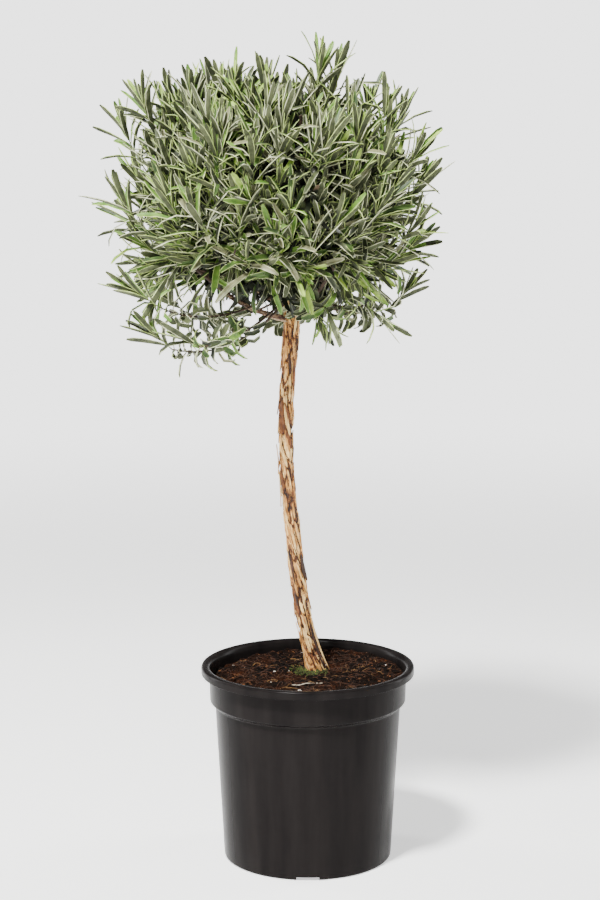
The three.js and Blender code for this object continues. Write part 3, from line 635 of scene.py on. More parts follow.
def stem_middle(height):
    """The stem's middle at a height, or at many."""
    level = np.clip(height, stem_curve[0, 2], stem_curve[-1, 2])
    return np.stack([np.interp(level, stem_curve[:, 2], stem_curve[:, k]) for k in range(3)], -1)


def stem_radius(height, turn):
    """The stem's radius at a height and a turn, without the relief of its bark."""
    tip = np.clip((height - STEM_TAPER_FROM) / (STEM_LINE[-1][2] - STEM_TAPER_FROM), 0, 1)
    tip = tip * tip * (3 - 2 * tip)
    flare = np.exp(-np.maximum(height - STEM_FOOT[2], 0) / FLARE_HEIGHT)
    lobes = 1 + FLARE_LOBE * flare * np.cos(FLARE_LOBES * turn)
    return (STEM_RADIUS + (STEM_TIP_RADIUS - STEM_RADIUS) * tip + FLARE_RADIUS * flare) * lobes


def plates(along, across, around, wide, long):
    """Long cells that the bark has split into: which one each place is in, how near it is to the next one
    (0 at a split), and how far aside of its middle, in widths."""
    columns = max(3, round(around / wide))
    rows = int(along.max() / long) + 3
    row, column = [grid.ravel() for grid in np.mgrid[-1:rows, 0:columns]]
    shift_across, shift_along = (chance.uniform(-shift, shift, row.shape) for shift in PLATE_SHIFTS)
    middle_across = (column + 0.5 + shift_across) * around / columns
    middle_along = (row + 0.5 * (column % 2) + shift_along) * long
    which, inside, aside = np.zeros(along.shape, int), np.zeros(along.shape), np.zeros(along.shape)
    for one in range(len(along)):
        off = across[one, :, None] - middle_across
        off = ((off + around / 2) % around - around / 2) / wide
        far = np.hypot(off, (along[one, :, None] - middle_along) / long)
        order = np.argsort(far, axis=1)
        pick = np.arange(len(order))
        which[one] = order[:, 0]
        inside[one] = far[pick, order[:, 1]] - far[pick, order[:, 0]]
        aside[one] = off[pick, order[:, 0]]
    return which, inside, aside, len(row)


def streaks(across, along, layers):
    """How far streaks stand in or out at each place."""
    return sum(strength * lattice(across / wide + right, along / long + up, fibre_table)
               for strength, wide, long, right, up in layers)


def strips(along, across, around, size):
    """How far the bark stands out at each place, and which of the finishes shows there."""
    twisted = across + STRIP_TWIST * along + WANDER * size * np.sin(along / WANDER_RUN / size)
    seam, seam_inside, _, seams = plates(along, twisted, around, SEAM_WIDTH * size, SEAM_LENGTH * size)
    strip, inside, aside, count = plates(along, twisted, around, STRIP_WIDTH * size, STRIP_LENGTH * size)
    lift = chance.uniform(*STRIP_LIFT, count)[strip] + chance.uniform(*STRIP_LIFT, seams)[seam]
    tilt = chance.normal(0, STRIP_TILT, count)[strip] * aside
    kind = chance.choice([TAN, PALE, ORANGE], count, p=STRIP_SHARES)[strip]
    rise, seam_rise = np.clip(inside / RIM_SHARE, 0, 1), np.clip(seam_inside / SEAM_SHARE, 0, 1)
    relief = lift * np.minimum(rise, seam_rise) + tilt
    relief -= FISSURE_DEPTH * (1 - rise) ** 2 + SEAM_DEPTH * (1 - seam_rise) ** 2
    fibres, flecks = streaks(twisted, along, FIBRE_LAYERS), streaks(twisted, along, FLECK_LAYERS)
    depth = np.minimum(inside / RIM_SHARE, seam_inside / SEAM_SHARE) + STREAK_SHARE * (fibres + flecks)
    # painted shade: orange-brown, then near black, towards the splits; painted highlight: pale crests on tan
    # strips
    shown = np.where(depth < ORANGE_UNDER, ORANGE, kind)
    shown = np.where((depth > PALE_OVER) & (kind == TAN) & (fibres > PALE_FIBRE), PALE, shown)
    shown = np.where(flecks + FLECK_FRAY * fibres < FLECK_UNDER, DARK, shown)
    shown = np.where(depth < DARK_UNDER, DARK, shown)
    return (relief + FLECK_RELIEF * flecks) * size + FIBRE_RELIEF * fibres, shown


def barked(line, side, other, radius, size):
    """A limb whose bark stands out from rings round its line, with the finish of each face."""
    rings, sides = radius.shape
    turn = np.arange(sides) * 2 * math.pi / sides
    run = np.concatenate([[0], np.cumsum(np.linalg.norm(np.diff(line, axis=0), axis=1))])
    around = 2 * math.pi * radius.mean()
    along = np.broadcast_to(run[:, None], radius.shape)
    relief, shown = strips(along, np.broadcast_to(turn / (2 * math.pi) * around, radius.shape), around, size)
    spokes = side[:, None] * np.cos(turn)[:, None] + other[:, None] * np.sin(turn)[:, None]
    corners = line[:, None] + spokes * (radius + relief)[..., None]
    return (corners.reshape(-1, 3), [*tube_faces(rings, sides)]), np.append(shown[:-1], [DARK, DARK])


stem_heights = np.arange(STEM_FOOT[2] - STEM_SUNK, STEM_LINE[-1][2], STEM_STEP)
stem_turn = np.arange(STEM_SIDES) * 2 * math.pi / STEM_SIDES
stem_line = stem_middle(stem_heights)
stem_line[:, 2] = stem_heights
level_x = np.broadcast_to([1.0, 0, 0], stem_line.shape)
level_y = np.broadcast_to([0, 1.0, 0], stem_line.shape)
stem_radii = stem_radius(stem_heights[:, None], stem_turn)
stem_shape, stem_shown = barked(stem_line, level_x, level_y, stem_radii, 1.0)
settle(mesh_object("stem_bark", stem_shape, BARK_FINISHES, stem_shown), ["trunk"])


def sliver(foot, turn, length, wide, lift, spin):
    """A strip of bark that has come away at one end: a thin ribbon along the stem, closed all round. A
    positive lift opens it upward, and a negative one downward."""
    along = np.linspace(0, 1, SLIVER_POINTS)
    heights = foot + along * length
    angle = turn + spin * along
    loose = (along if lift > 0 else 1 - along) ** SLIVER_CURL
    out = stem_radius(heights, angle) + SLIVER_OFF + abs(lift) * loose
    outward = np.stack([np.cos(angle), np.sin(angle), np.zeros(SLIVER_POINTS)], 1)
    sideways = np.stack([-np.sin(angle), np.cos(angle), np.zeros(SLIVER_POINTS)], 1)
    line = stem_middle(heights) + outward * out[:, None]
    line[:, 2] = heights
    half = wide / 2 * np.sin(math.pi * np.clip(along * SLIVER_RUN + SLIVER_FOOT, 0, 1)) ** SLIVER_BLUNT
    section = np.array(SLIVER_SECTION)
    corners = (line[:, None] + sideways[:, None] * (section[:, 0] * half[:, None])[..., None]
               + outward[:, None] * section[:, 1][:, None])
    return corners.reshape(-1, 3), [*tube_faces(SLIVER_POINTS, len(section))]


def merged(shapes):
    """Several shapes as one."""
    starts = np.concatenate([[0], np.cumsum([len(points) for points, _ in shapes])[:-1]])
    groups = [group + start for (_, many), start in zip(shapes, starts) for group in many]
    sides = sorted({group.shape[1] for group in groups})
    return (np.concatenate([points for points, _ in shapes]),
            [np.concatenate([group for group in groups if group.shape[1] == count]) for count in sides])


slivers = [[] for _ in BARK_FINISHES]
for _ in range(SLIVERS):
    foot = chance.uniform(STEM_FOOT[2] + 2, SLIVER_TOP)
    kind = chance.choice(len(BARK_FINISHES), p=SLIVER_SHARES)
    turn = chance.uniform(0, 2 * math.pi)
    length, wide = chance.uniform(*SLIVER_LENGTHS), chance.uniform(*SLIVER_WIDTHS)
    lift = chance.choice([-1, 1]) * chance.uniform(*SLIVER_LIFTS)
    slivers[kind].append(sliver(foot, turn, length, wide, lift, chance.normal(*SLIVER_SPIN)))
FRONT_RIGHT = math.radians(-38)
slivers[DARK].append(sliver(249, FRONT_RIGHT, 23, 5.0, -3.4, 0.1))  # a dark flap that has opened downward
slivers[PALE].append(sliver(165, FRONT_RIGHT + 0.35, 50, 2.6, -3.4, -0.25))  # a pale strip down to a root
slivers[DARK].append(sliver(167, FRONT_RIGHT, 46, 2.2, -2.4, -0.3))
add_piece("stem_peelings", [merged(some) for some in slivers], BARK_FINISHES)

# ------------------------------------------------------------------------------------------ boughs
# Where the leader was stopped it broke into boughs, which have been cut back every summer. Each one
# leaves the stem outward, bends upward, and ends where it enters its own mass of foliage.
CROWN_MIDDLE = np.array([-28.0, 8.0])
# Each ring of boughs: its name, how many, its turn, how far out and up its masses lie, how high on the stem
# the boughs leave it, how steeply, and their radius.
RINGS = (("skirt", 4, 0.4, 78, 528, 482, 0.25, 2.6), ("middle", 5, 0.0, 82, 592, 506, 0.75, 3.6),
         ("upper", 4, 0.2, 68, 648, 534, 1.4, 3.2), ("top", 1, 0.0, 0, 672, 560, 9.0, 3.2))
FORK_STEP = 9.0  # every second bough leaves the stem this much higher
BOUGH_TAPER, BOUGH_BEND = 0.62, 0.45  # its tip's radius next to its foot's, and where it bends
BOUGH_SHORT = 30.0  # how far short of the middle of its mass it ends
BOUGH_SIDES, BOUGH_STEPS = 22, 64
BOUGH_BARK = 0.55  # the size of the plates of its bark, next to the stem's


def bent(start, bend, tip, share):
    """Points at shares of the way along curves that have one bend."""
    t = np.asarray(share)[..., None]
    return (1 - t) ** 2 * start + 2 * t * (1 - t) * bend + t ** 2 * tip


def heading_of(start, bend, tip, share):
    """The ways that such curves head there."""
    t = np.asarray(share)[..., None]
    return unit((1 - t) * (bend - start) + t * (tip - bend))


masses = []
for ring, count, turn, out, up, fork, rise, radius in RINGS:
    for i in range(count):
        angle = (i + turn) * 2 * math.pi / count
        middle = np.array([*(CROWN_MIDDLE + out * np.array([math.cos(angle), math.sin(angle)])), up])
        start = stem_middle(min(fork + (i % 2) * FORK_STEP, STEM_LINE[-1][2]))
        leaving = unit(np.array([*unit((middle - start)[:2]), rise]))
        corner = start + leaving * np.linalg.norm(middle - start) * BOUGH_BEND
        inward = unit(corner - middle)
        masses.append({"name": f"{ring}_{i + 1}" if count > 1 else ring, "middle": middle, "radius": radius,
                       "heading": -inward, "bough": (start, corner, middle + inward * BOUGH_SHORT)})


def frames(line):
    """Two directions square to a line at each of its points."""
    way = unit(np.gradient(line, axis=0))
    helper = np.array([0, 0, 1.0]) if abs(unit(line[-1] - line[0])[2]) < 0.8 else np.array([0, 1.0, 0])
    side = unit(np.cross(way, helper))
    return side, np.cross(way, side)


BOUGH_FINISHES = [finish("bough_tan", old_bark("#4e3a28", "#7c6046")),
                  finish("bough_pale", old_bark("#7c684e", "#a48e70")),
                  finish("bough_red", old_bark("#3c2418", "#684632")),
                  BARK_FINISHES[DARK]]
bough_shapes, bough_shown = [], []
for mass in masses:
    share = np.linspace(0, 1, BOUGH_STEPS)
    line = bent(*mass["bough"], share)
    radius = mass["radius"] * (1 + (BOUGH_TAPER - 1) * share)
    shape, shown = barked(line, *frames(line), np.repeat(radius[:, None], BOUGH_SIDES, 1), BOUGH_BARK)
    bough_shapes.append(shape)
    bough_shown.append((shown[:-2], shown[-2:]))
boughs = mesh_object("boughs_bark", merged(bough_shapes), BOUGH_FINISHES,
                     np.concatenate([part[kind] for kind in (0, 1) for part in bough_shown]))
settle(boughs, ["bough_" + mass["name"] for mass in masses])

# ----------------------------------------------------------------------------------------- foliage
# Every mass is its own stem with woody branches, and the branches end in sprays of this year's shoots.
# Leaves stand on them in pairs, each pair square to the next: narrow, felted, and folded along the
# midrib, with pale rolled edges. New ones are green and upright, and old ones turn grey, sag and curl.
CROWN_CENTRE = np.array([-27.0, 8.0, 590.0])
CROWN_RADII = np.array([119.0, 120.0, 117.0])
CROWN_SQUARE = 4.0  # 2 is a round ball, and more is squarer at the shoulders
CROWN_SPREAD, CROWN_DROOP = (0.87, 1.04), 12.0  # how evenly it was clipped, and how far its underside hangs
CROWN_SWAY = 22.0  # how much further left the crown's top and underside lie than its middle
CROWN_SLANT = 0.055  # how much its top falls to the right
LOWEST_SHOOT = -0.84  # -1 is the middle of the underside
THIN_HEIGHTS, THIN_SHARES = (500, 575), (0.08, 1.0)  # sprays thin out towards the underside
LIFT_HEIGHTS, LIFTS = (480, 530, 590, 640), (-0.6, 0.3, 1.4, 2.6)  # and turn from down to up with height
BRANCHES, INNER = 75, 4  # branches in all, and short shaded shoots on each
SPRAYS, SPRAY_SHOOTS = 162, 3
SPRAY_WIDTH, SPRAY_DEPTH = 7.5, 20.0  # how far a spray's tips lie apart, and how far in the lowest may be
BRANCH_SHORT, SHOOT_LENGTH = 82.0, 50.0  # how far a branch stops short of the outline, and its shoots' length
INNER_REACH = 0.68  # as a share of the way to the crown's outline
FEET = 16  # places along a branch where a shoot may start
BRANCH_RADIUS, SHOOT_RADIUS, SHOOT_TIP = 1.5, 0.8, 0.5
STALK_SIDES, BRANCH_SIDES, SHOOT_SIDES, INNER_SIDES = 8, 6, 5, 4
CURVE_STEPS, INNER_STEPS, TRAIL_STEPS = 8, 5, 14
SHOOT_BEND = 0.45  # where a shoot bends, as a share of its length from the tip
BRANCH_LIFT = 0.5  # how much a branch's tip turns the way that the shoots there grow
INNER_LENGTHS, INNER_OUTWARD = (20, 34), 0.6
SPRAY_TURN, SHOOT_TURN, SPRAY_AGE = 0.13, 0.14, 0.2  # how unlike each other sprays and their shoots are
# Where branches, shoots and shaded shoots start, as shares of the way along what carries them.
BRANCH_FEET, BUD_SHARES, INNER_FEET = (0.2, 1.0), (0.3, 1), (0.1, 0.9)
TIP_REACH = 35.0  # how far the newest leaves stand out past the shoot's own tip
LEAF_LENGTH, LEAF_WIDTH = 41.0, 5.3
# Pairs are counted down the shoot from its tip: how far back each is, how long and how wide its leaves
# are, and how they open and curl.
PAIR = np.arange(9)
PAIRS = np.stack([0.4 + 1.6 * PAIR + 0.42 * PAIR ** 2,
                  np.interp(PAIR, (0, 3.5, 6, 8), (0.4, 1.0, 1.0, 0.8)),
                  np.interp(PAIR, (0, 3.5, 6, 8), (0.67, 1.0, 1.0, 0.9)),
                  np.interp(PAIR, (0, 4, 8), (0.07, 0.33, 0.82)),
                  np.interp(PAIR, (0, 3, 8), (-0.1, 0.2, 1.0))], 1)
INNER_PAIRS = PAIRS[2:7]
CURLED_PAIRS = np.array([(back, 0.55, 1.15, 0.9, 1.7) for back in np.arange(3.0, 74.0, 5.2)])
PAIR_OFFSET, PAIR_SCATTER = 0.7, 0.6  # how much lower the second leaf of a pair stands, and how unevenly
BARE_SHARE = 0.1  # the lowest part of a shoot bears no leaves
# How unlike each other leaves are: how far they open, one by one and by shoot, their length and width, their
# turn round the shoot, their twist and sag, their curl, and the age at which their colour changes.
SPLAY_SPREAD, SHOOT_SPLAY = (0.7, 1.35), (0.75, 1.25)
LENGTH_SPREAD, WIDTH_SPREAD = (0.78, 1.16), (0.75, 1.15)
TURN_SPREAD, CURLY_TURN = 0.22, 0.4
LEAF_TWIST, SAG = 0.35, 0.18
CURL_SPREAD, CURL_SHARES, STRONG_CURL, CURLY_MORE = 0.3, (0.22, 0.5), (0.5, 1.4), 0.5
AGE_SPREAD = 0.06
# Up a leaf: how far, and how wide it is there.
LEAF_STATIONS = np.array([(0, 0.3), (0.2, 0.8), (0.55, 1.0), (0.86, 0.88), (1, 0.38)])
TOP, EDGE, UNDER = range(3)
# Across a leaf: how far out, how high, and what the face from there to the next one is.
FOLDED = ((0, -0.18, TOP), (0.84, 0.14, EDGE), (1, -0.04, EDGE), (0.84, -0.2, UNDER), (0, -0.36, UNDER),
          (-0.84, -0.2, EDGE), (-1, -0.04, EDGE), (-0.84, 0.14, TOP))
PLAIN = ((0, 0.0, TOP), (1, 0.06, UNDER), (0, -0.16, UNDER), (-1, 0.06, TOP))
FOLD_ANGLE = 26.0  # the midrib and the edges stay crisp, and the bend along the leaf is smooth
# Tips of shoots that have outgrown the last clipping.
LONG_SHOOTS = (
    (13, 0, 737), (27, 12, 730), (-11, -34, 710), (-37, 20, 722), (-66, -26, 720), (-79, 30, 718),
    (-104, -20, 716), (-126, 26, 706), (-148, -14, 706), (-168, 22, 684), (-170, -34, 624), (-172, 30, 602),
    (-164, -18, 578), (-174, 32, 534), (-160, -34, 514), (-158, 10, 496), (-146, -44, 482), (40, -30, 702),
    (59, 24, 703), (73, -16, 700), (88, 26, 693), (100, -30, 664), (108, 24, 636), (108, -38, 598),
    (117, 18, 572), (106, -32, 552), (96, 22, 536), (82, -30, 508), (64, -14, 488))
LONG_AGE, TERMINAL_AGE, TRAIL_AGE = 0.1, -0.1, -0.6  # how much younger their leaves are than a usual shoot's
# Low twigs that were never cut: the height at which each leaves the stem, its bend, its tip, and the tip of
# the young shoot that ends it.
TRAILING = (
    (508, (-58, -40, 450), (-116, -48, 464), (-132, -52, 480)),
    (514, (-76, -46, 476), (-126, -50, 500), (-146, -54, 514)),
    (508, (-56, -62, 468), (-92, -78, 470), (-106, -86, 480)),
    (504, (-2, -24, 502), (6, -38, 498), (10, -44, 488)),
    (502, (6, -32, 503), (15, -46, 499), (20, -53, 489)),
    (506, (26, -24, 494), (50, -36, 500), (62, -44, 490)),
    (508, (-66, 60, 466), (-112, 84, 482), (-130, 92, 496)),
    (510, (36, 66, 470), (78, 92, 486), (90, 100, 500)),
    (504, (-16, 84, 462), (-30, 122, 478), (-34, 134, 494)))
TRAIL_RADIUS, TRAIL_TIP = 1.2, 0.6
FELT_HAIRS, FELT_SPOTS = 0.8, 9.0  # millimetres across: the hairs are drawn coarser than life, to show


def crown_points(count):
    """Points spread evenly over the crown, apart from a bare patch round the stem underneath."""
    i = np.arange(count)
    up = 1 - (1 - LOWEST_SHOOT) * (i + 0.5) / count
    level = np.sqrt(1 - up * up)
    square = (level ** CROWN_SQUARE + np.abs(up) ** CROWN_SQUARE) ** (-1 / CROWN_SQUARE)
    turn = i * math.pi * (3 - math.sqrt(5))
    reach = square * chance.uniform(*CROWN_SPREAD, count)
    points = np.stack([np.cos(turn) * level, np.sin(turn) * level, up], 1) * CROWN_RADII * reach[:, None]
    points[:, 2] -= CROWN_DROOP * np.maximum(0, -up) ** 2 + CROWN_SLANT * points[:, 0] * np.maximum(0, up)
    points[:, 0] -= CROWN_SWAY * up ** 2
    return points + CROWN_CENTRE


def nearest(points, places):
    """The number of the place that is nearest to each point."""
    return np.linalg.norm(points[:, None] - places[None], axis=-1).argmin(1)


def outgrowth(targets):
    """The way a shoot points at the crown's outline: outward and up, or down on the underside."""
    outward = unit((targets - CROWN_CENTRE) / CROWN_RADII)
    outward[:, 2] += np.interp(targets[:, 2], LIFT_HEIGHTS, LIFTS)
    return unit(outward)


def rods(curves, thick, thin, sides, steps=CURVE_STEPS):
    """Tapering twigs along curves that have one bend."""
    share = np.linspace(0, 1, steps)
    line = bent(*[part[:, None] for part in curves], share[None])
    return tubes(line, np.broadcast_to(thick + (thin - thick) * share, line.shape[:2]), sides)


def blades(root, heading, upward, length, width, bend, twist, section):
    """Leaves as closed blades on a bent midrib. Also tells, for each face, what it is, which leaf it
    belongs to and how far up that leaf it lies."""
    along, wide = LEAF_STATIONS.T
    count, stations, ring = len(root), len(along), len(section)
    angle = bend[:, None] * (along[None, 1:] + along[None, :-1]) / 2
    step = np.diff(along)[None] * length[:, None]
    ahead = np.concatenate([np.zeros((count, 1)), np.cumsum(np.cos(angle) * step, 1)], 1)
    aside = np.concatenate([np.zeros((count, 1)), np.cumsum(-np.sin(angle) * step, 1)], 1)
    spine = root[:, None] + heading[:, None] * ahead[..., None] + upward[:, None] * aside[..., None]
    lean = bend[:, None] * along[None]
    raised = heading[:, None] * np.sin(lean)[..., None] + upward[:, None] * np.cos(lean)[..., None]
    across = np.cross(upward, heading)[:, None]
    turn = (twist[:, None] * along[None])[..., None]
    flat = across * np.cos(turn) + raised * np.sin(turn)
    high = raised * np.cos(turn) - across * np.sin(turn)
    half = (width[:, None] / 2 * wide[None])[..., None, None]
    out, up, kinds = np.array(section).T
    corners = spine[:, :, None] + half * (flat[:, :, None] * out[:, None] + high[:, :, None] * up[:, None])
    quads, caps = tube_faces(stations, ring)
    quads, caps = quads[:, [0, 3, 2, 1]], caps[:, ::-1]  # the section runs the other way round
    start = (np.arange(count) * stations * ring)[:, None, None]
    shape = corners.reshape(-1, 3), [(quads + start).reshape(-1, 4), (caps + start).reshape(-1, ring)]
    leaf, ends = np.arange(count), 2 * count
    kind = np.append(np.tile(kinds, (stations - 1) * count), np.full(ends, UNDER)).astype(int)
    owner = np.append(np.repeat(leaf, len(quads)), np.repeat(leaf, 2))
    height = np.append(np.tile(np.repeat(along[:-1], ring), count), np.ones(ends))
    return shape, kind, owner, height


def felted(low, high, roughness=0.5, felt=0.04):
    def look(tree):
        # a leaf under fine grey hairs: soft, with a pale bloom at grazing light and no mirror gloss
        place = add(tree, "TexCoord").outputs["Object"]
        hairs = add(tree, "TexNoise", {"Vector": place, "Scale": 1000 / FELT_HAIRS, "Detail": 3.0})
        spots = add(tree, "TexNoise", {"Vector": place, "Scale": 1000 / FELT_SPOTS, "Detail": 2.0})
        tint = add(tree, "ValToRGB", {"Fac": spots.outputs["Fac"]}, stops=[(0.38, low), (0.62, high)])
        relief = add(tree, "Bump", {"Height": hairs.outputs["Fac"], "Strength": 0.25, "Distance": 0.0002})
        return {"Base Color": tint.outputs["Color"], "Roughness": roughness, "Sheen Weight": felt,
                "Sheen Roughness": 0.5, "Specular IOR Level": 0.3, "Normal": relief.outputs["Normal"]}
    return look


# Finishes of a leaf's upper face, from newest to oldest, then what its rolled edge and underside show.
LEAF_TOPS = [finish("leaf_" + name, felted(low, high)) for name, low, high in (
    ("yellow_green", "#6f8c2e", "#96b04a"),
    ("bright_green", "#466820", "#668634"),
    ("green", "#223511", "#3e561f"),
    ("grey_green", "#2c331c", "#474e2e"),
    ("silver", "#5e6042", "#7e7e5c"),
    # deep green, near black: partly old leaves' colour, partly painted shade for the crown's dark inside
    ("deep_green_and_painted_shade", "#161c0a", "#262f12"),
    ("withered", "#4a3a2c", "#7e6a50"))]
BRIGHT, GREEN, WITHERED = 1, 2, 6  # places in that list
LEAF_EDGE = finish("leaf_rolled_edge", felted("#999f74", "#c8cba8"))
YOUNG_EDGE = finish("leaf_young_edge", felted("#8a9e52", "#b0be78"))
LEAF_UNDER = finish("leaf_underside", felted("#2f351f", "#4e5437", 0.7))
# painted shade: the inner leaves' undersides are near black for the shade inside the crown
LEAF_UNDERSIDE_PAINTED_SHADE = finish("leaf_underside_painted_shade", felted("#10130a", "#1f2112", 0.75, 0.0))
LEAF_FINISHES = [*LEAF_TOPS, YOUNG_EDGE, LEAF_EDGE, LEAF_UNDER, LEAF_UNDERSIDE_PAINTED_SHADE]
# dark brown: the twigs' bark, darkened further as painted shade inside the crown
WOOD_AND_PAINTED_SHADE = finish("branch_bark_and_painted_shade", old_bark("#1e140c", "#443120"))
GREEN_STEM = finish("green_stem", mottled("#55632f", "#788650", 4.0, 0.6))
# The share of leaves of each colour on a shoot: the newest pairs, the next ones, old ones that have turned
# grey or stayed green, and those in the shade inside, which are drawn dark as painted shade.
NEW_MIX = (0.4, 0.4, 0.14, 0.06, 0.0, 0.0, 0.0)
MID_MIX = (0.05, 0.25, 0.36, 0.24, 0.04, 0.06, 0.0)
GREY_MIX = (0.0, 0.02, 0.14, 0.4, 0.22, 0.21, 0.01)
GREEN_MIX = (0.0, 0.12, 0.44, 0.18, 0.02, 0.24, 0.0)
PAINTED_SHADE_MIX = (0.0, 0.0, 0.06, 0.06, 0.0, 0.86, 0.02)
GREY_SHARE, LOW_GREY = 0.6, 0.35  # the share of shoots whose old leaves turn grey, and how many more low down
NEW_UNTIL, MID_UNTIL = 0.26, 0.58  # how far down the shoot the first two mixes reach
FRESH_BASE = 0.3  # young leaves are still bright green this far up from their foot
CURLY_HEIGHTS = (470, 580)  # the lower a shoot's tip, the more its leaves curl


def leaves_on(curves, pairs, fresh, shaded=False):
    """Pairs of leaves on shoots, and the number of each face's finish. fresh is how young each shoot is."""
    start, _, tip = curves
    count, rows = len(start), len(pairs)
    span = np.linalg.norm(tip - start, axis=1)
    back, size, wideness, splay, curl = pairs.T
    back = (np.repeat(back[None, :, None], count, 0) + np.array([0, PAIR_OFFSET])
            + chance.uniform(-PAIR_SCATTER, PAIR_SCATTER, (count, rows, 2)))
    share = 1 - np.maximum(back, 0.1) / span[:, None, None]
    kept = share > BARE_SHARE
    each = share.shape
    wide = [part[:, None, None] for part in curves]
    root = bent(*wide, share)
    axis = heading_of(*wide, share)
    side = unit(np.stack([-axis[..., 1], axis[..., 0], np.full(each, 1e-4)], -1))
    other = np.cross(axis, side)
    curly = np.interp(tip[:, 2], CURLY_HEIGHTS, (1, 0))[:, None, None]
    turn = (chance.uniform(0, 2 * math.pi, (count, 1, 1)) + (np.arange(rows) * math.pi / 2)[:, None]
            + np.array([0, math.pi]) + chance.normal(0, 1, each) * (TURN_SPREAD + CURLY_TURN * curly))
    outward = side * np.cos(turn)[..., None] + other * np.sin(turn)[..., None]
    opened = splay[:, None] * chance.uniform(*SPLAY_SPREAD, each)
    opened = opened * chance.uniform(*SHOOT_SPLAY, (count, 1, 1))
    heading = axis * np.cos(opened)[..., None] + outward * np.sin(opened)[..., None]
    age = np.linspace(0, 1, rows)[None, :, None]
    heading[..., 2] -= age * chance.uniform(0, SAG, each)
    heading = unit(heading)
    upward = axis * np.sin(opened)[..., None] - outward * np.cos(opened)[..., None]
    upward = unit(upward - heading * (upward * heading).sum(-1, keepdims=True))
    length = LEAF_LENGTH * size[:, None] * chance.uniform(*LENGTH_SPREAD, each)
    width = LEAF_WIDTH * wideness[:, None] * chance.uniform(*WIDTH_SPREAD, each)
    bending = curl[:, None] + chance.normal(0, CURL_SPREAD, each)
    strong = chance.random(each) < (CURL_SHARES[0] + CURL_SHARES[1] * curly) * age
    bending += np.where(strong, chance.uniform(*STRONG_CURL, each) * (1 + CURLY_MORE * curly), 0)
    twisting = chance.normal(0, LEAF_TWIST, each)
    newness = age - fresh[:, None, None] + chance.normal(0, AGE_SPREAD, each)
    greyed = chance.random((count, 1, 1, 1)) < GREY_SHARE + LOW_GREY * curly[..., None]
    mix = np.where((newness < MID_UNTIL)[..., None], MID_MIX, np.where(greyed, GREY_MIX, GREEN_MIX))
    mix = np.where((newness < NEW_UNTIL)[..., None], NEW_MIX, mix)
    # the inner leaves take the painted shade mix, mostly deep green
    if shaded:
        mix = np.broadcast_to(PAINTED_SHADE_MIX, mix.shape)
    tone = (chance.random(each)[..., None] > np.cumsum(mix, -1)).sum(-1)
    shape, kind, owner, height = blades(root[kept], heading[kept], upward[kept], length[kept], width[kept],
                                        bending[kept], twisting[kept], PLAIN if shaded else FOLDED)
    tones, young = np.minimum(tone, WITHERED)[kept], (newness < MID_UNTIL)[kept]
    tops = np.where(young[owner] & (height < FRESH_BASE) & (not shaded), BRIGHT, tones[owner])
    young_edge, old_edge, underside, painted_shade_underside = range(len(LEAF_TOPS), len(LEAF_FINISHES))
    edges = np.where(tones[owner] > GREEN, old_edge, young_edge)
    under = painted_shade_underside if shaded else underside
    return shape, np.where(kind == TOP, tops, np.where(kind == EDGE, edges, under))


def grown(starts, tips, headings):
    """Curves with one bend that end in given headings."""
    reach = np.linalg.norm(tips - starts, axis=1, keepdims=True)
    return starts, tips - headings * reach * SHOOT_BEND, tips


def leaf_piece(name, parts, replaced=()):
    """One piece of all the leaves in several parts, each with its faces' finishes."""
    corners, quads, caps, numbers, start = [], [], [], [], 0
    for (points, groups), number in parts:
        corners.append(points)
        quads.append((groups[0] + start, number[:len(groups[0])]))
        caps.append((groups[1] + start, number[len(groups[0]):]))
        start += len(points)
    faces = quads + caps
    made = mesh_object(name, (np.concatenate(corners), [face for face, _ in faces]), LEAF_FINISHES,
                       np.concatenate([number for _, number in faces]))
    made.data.set_sharp_from_angle(angle=math.radians(FOLD_ANGLE))
    settle(made, replaced)


middles = np.array([mass["middle"] for mass in masses])
branch_targets = crown_points(BRANCHES)
spray_targets = crown_points(SPRAYS)
dense = chance.random(SPRAYS) < np.interp(spray_targets[:, 2], THIN_HEIGHTS, THIN_SHARES)
spray_targets = spray_targets[dense]
spray = np.repeat(np.arange(len(spray_targets)), SPRAY_SHOOTS)
spray_heading = unit(outgrowth(spray_targets) + chance.normal(0, SPRAY_TURN, spray_targets.shape))
inward = unit(CROWN_CENTRE - spray_targets)[spray] * chance.uniform(0, SPRAY_DEPTH, (len(spray), 1))
shoot_targets = spray_targets[spray] + chance.normal(0, SPRAY_WIDTH, (len(spray), 3)) + inward
shoot_headings = unit(spray_heading[spray] + chance.normal(0, SHOOT_TURN, shoot_targets.shape))
shoot_fresh = chance.normal(0, SPRAY_AGE, len(spray_targets))[spray]
long_targets = np.array(LONG_SHOOTS, float)
spray_foot = np.vstack([(spray_targets - spray_heading * (TIP_REACH + SHOOT_LENGTH))[spray],
                        long_targets - outgrowth(long_targets) * (TIP_REACH + SHOOT_LENGTH)])
shoot_targets = np.vstack([shoot_targets, long_targets])
shoot_headings = np.vstack([shoot_headings, outgrowth(long_targets)])
shoot_fresh = np.concatenate([shoot_fresh, np.full(len(long_targets), LONG_AGE)])
branch_mass, shoot_mass = nearest(branch_targets, middles), nearest(shoot_targets, middles)
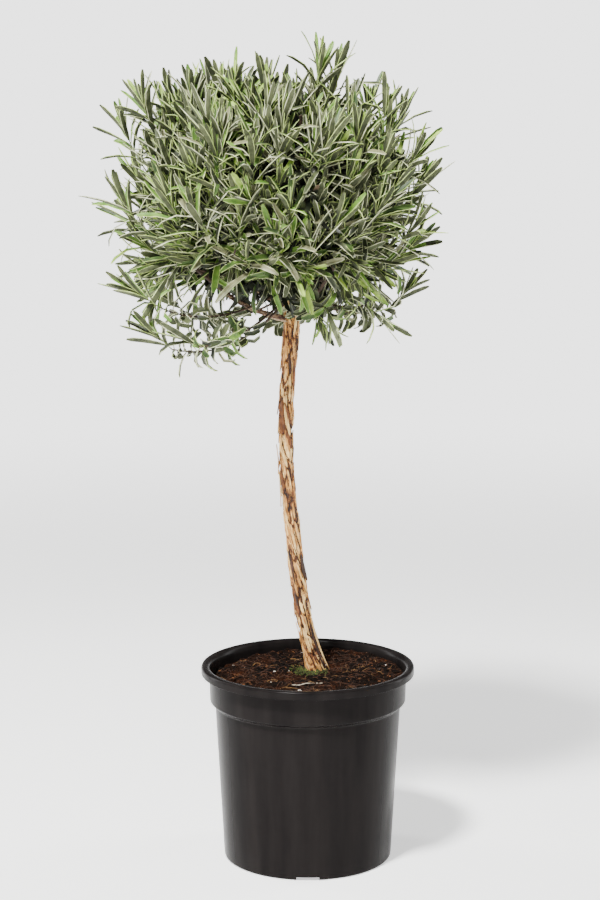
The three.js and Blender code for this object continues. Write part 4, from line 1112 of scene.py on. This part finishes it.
for number, mass in enumerate(masses):
    stalk_start = mass["bough"][2] + mass["heading"] * GAP
    stalk_end = mass["middle"] + mass["heading"] * BOUGH_SHORT / 2
    stalk = np.stack([stalk_start, (stalk_start + stalk_end) / 2, stalk_end])[:, None]
    aims = branch_targets[branch_mass == number]
    starts = stalk_start + (stalk_end - stalk_start) * chance.uniform(*BRANCH_FEET, (len(aims), 1))
    tips = aims - outgrowth(aims) * BRANCH_SHORT
    branches = grown(starts, tips, unit(unit(aims - starts) + BRANCH_LIFT * outgrowth(aims)))
    here = shoot_mass == number
    ends = shoot_targets[here] - shoot_headings[here] * TIP_REACH
    buds = bent(*[part[:, None] for part in branches], np.linspace(*BUD_SHARES, FEET)[None]).reshape(-1, 3)
    feet = buds[nearest(spray_foot[here], buds)]
    shoots = grown(feet, ends, shoot_headings[here])
    inner_pick = np.repeat(np.arange(len(aims)), INNER)
    inner_feet = bent(*[part[inner_pick] for part in branches], chance.uniform(*INNER_FEET, len(inner_pick)))
    inner_way = unit(chance.normal(0, 1, inner_feet.shape) + INNER_OUTWARD * unit(inner_feet - CROWN_CENTRE))
    inner_tips = inner_feet + inner_way * chance.uniform(*INNER_LENGTHS, (len(inner_pick), 1)) - CROWN_CENTRE
    depth = np.linalg.norm(inner_tips / CROWN_RADII, axis=1, keepdims=True)
    inner_tips = CROWN_CENTRE + inner_tips * np.minimum(1, INNER_REACH / depth)
    inner = grown(inner_feet, inner_tips, inner_way)
    add_piece("twigs_" + mass["name"],
              [merged([rods(stalk, mass["radius"] * BOUGH_TAPER, BRANCH_RADIUS, STALK_SIDES),
                       rods(branches, BRANCH_RADIUS, SHOOT_RADIUS, BRANCH_SIDES)])], [WOOD_AND_PAINTED_SHADE])
    add_piece("shoots_" + mass["name"],
              [merged([rods(shoots, SHOOT_RADIUS, SHOOT_TIP, SHOOT_SIDES),
                       rods(inner, SHOOT_RADIUS, SHOOT_TIP, INNER_SIDES, INNER_STEPS)])],
              [GREEN_STEM])
    leaf_piece("leaves_" + mass["name"],
               [leaves_on(shoots, PAIRS, shoot_fresh[here]),
                leaves_on(inner, INNER_PAIRS, np.zeros(len(inner_pick)), shaded=True)],
               ["foliage_" + mass["name"]])

trail_starts = stem_middle(np.array([row[0] for row in TRAILING], float))
trail_bends, trail_tips, young_tips = (np.array([row[k] for row in TRAILING], float) for k in (1, 2, 3))
trails = (trail_starts, trail_bends, trail_tips)
terminals = grown(trail_tips, young_tips, unit(young_tips - trail_tips))
add_piece("twigs_trailing",
          [rods(trails, TRAIL_RADIUS, TRAIL_TIP, BRANCH_SIDES, TRAIL_STEPS)], [WOOD_AND_PAINTED_SHADE])
add_piece("shoots_trailing", [rods(terminals, TRAIL_TIP, SHOOT_TIP, SHOOT_SIDES)], [GREEN_STEM])
leaf_piece("leaves_trailing", [leaves_on(trails, CURLED_PAIRS, np.full(len(TRAILING), TRAIL_AGE)),
                               leaves_on(terminals, PAIRS, np.full(len(TRAILING), TERMINAL_AGE))])
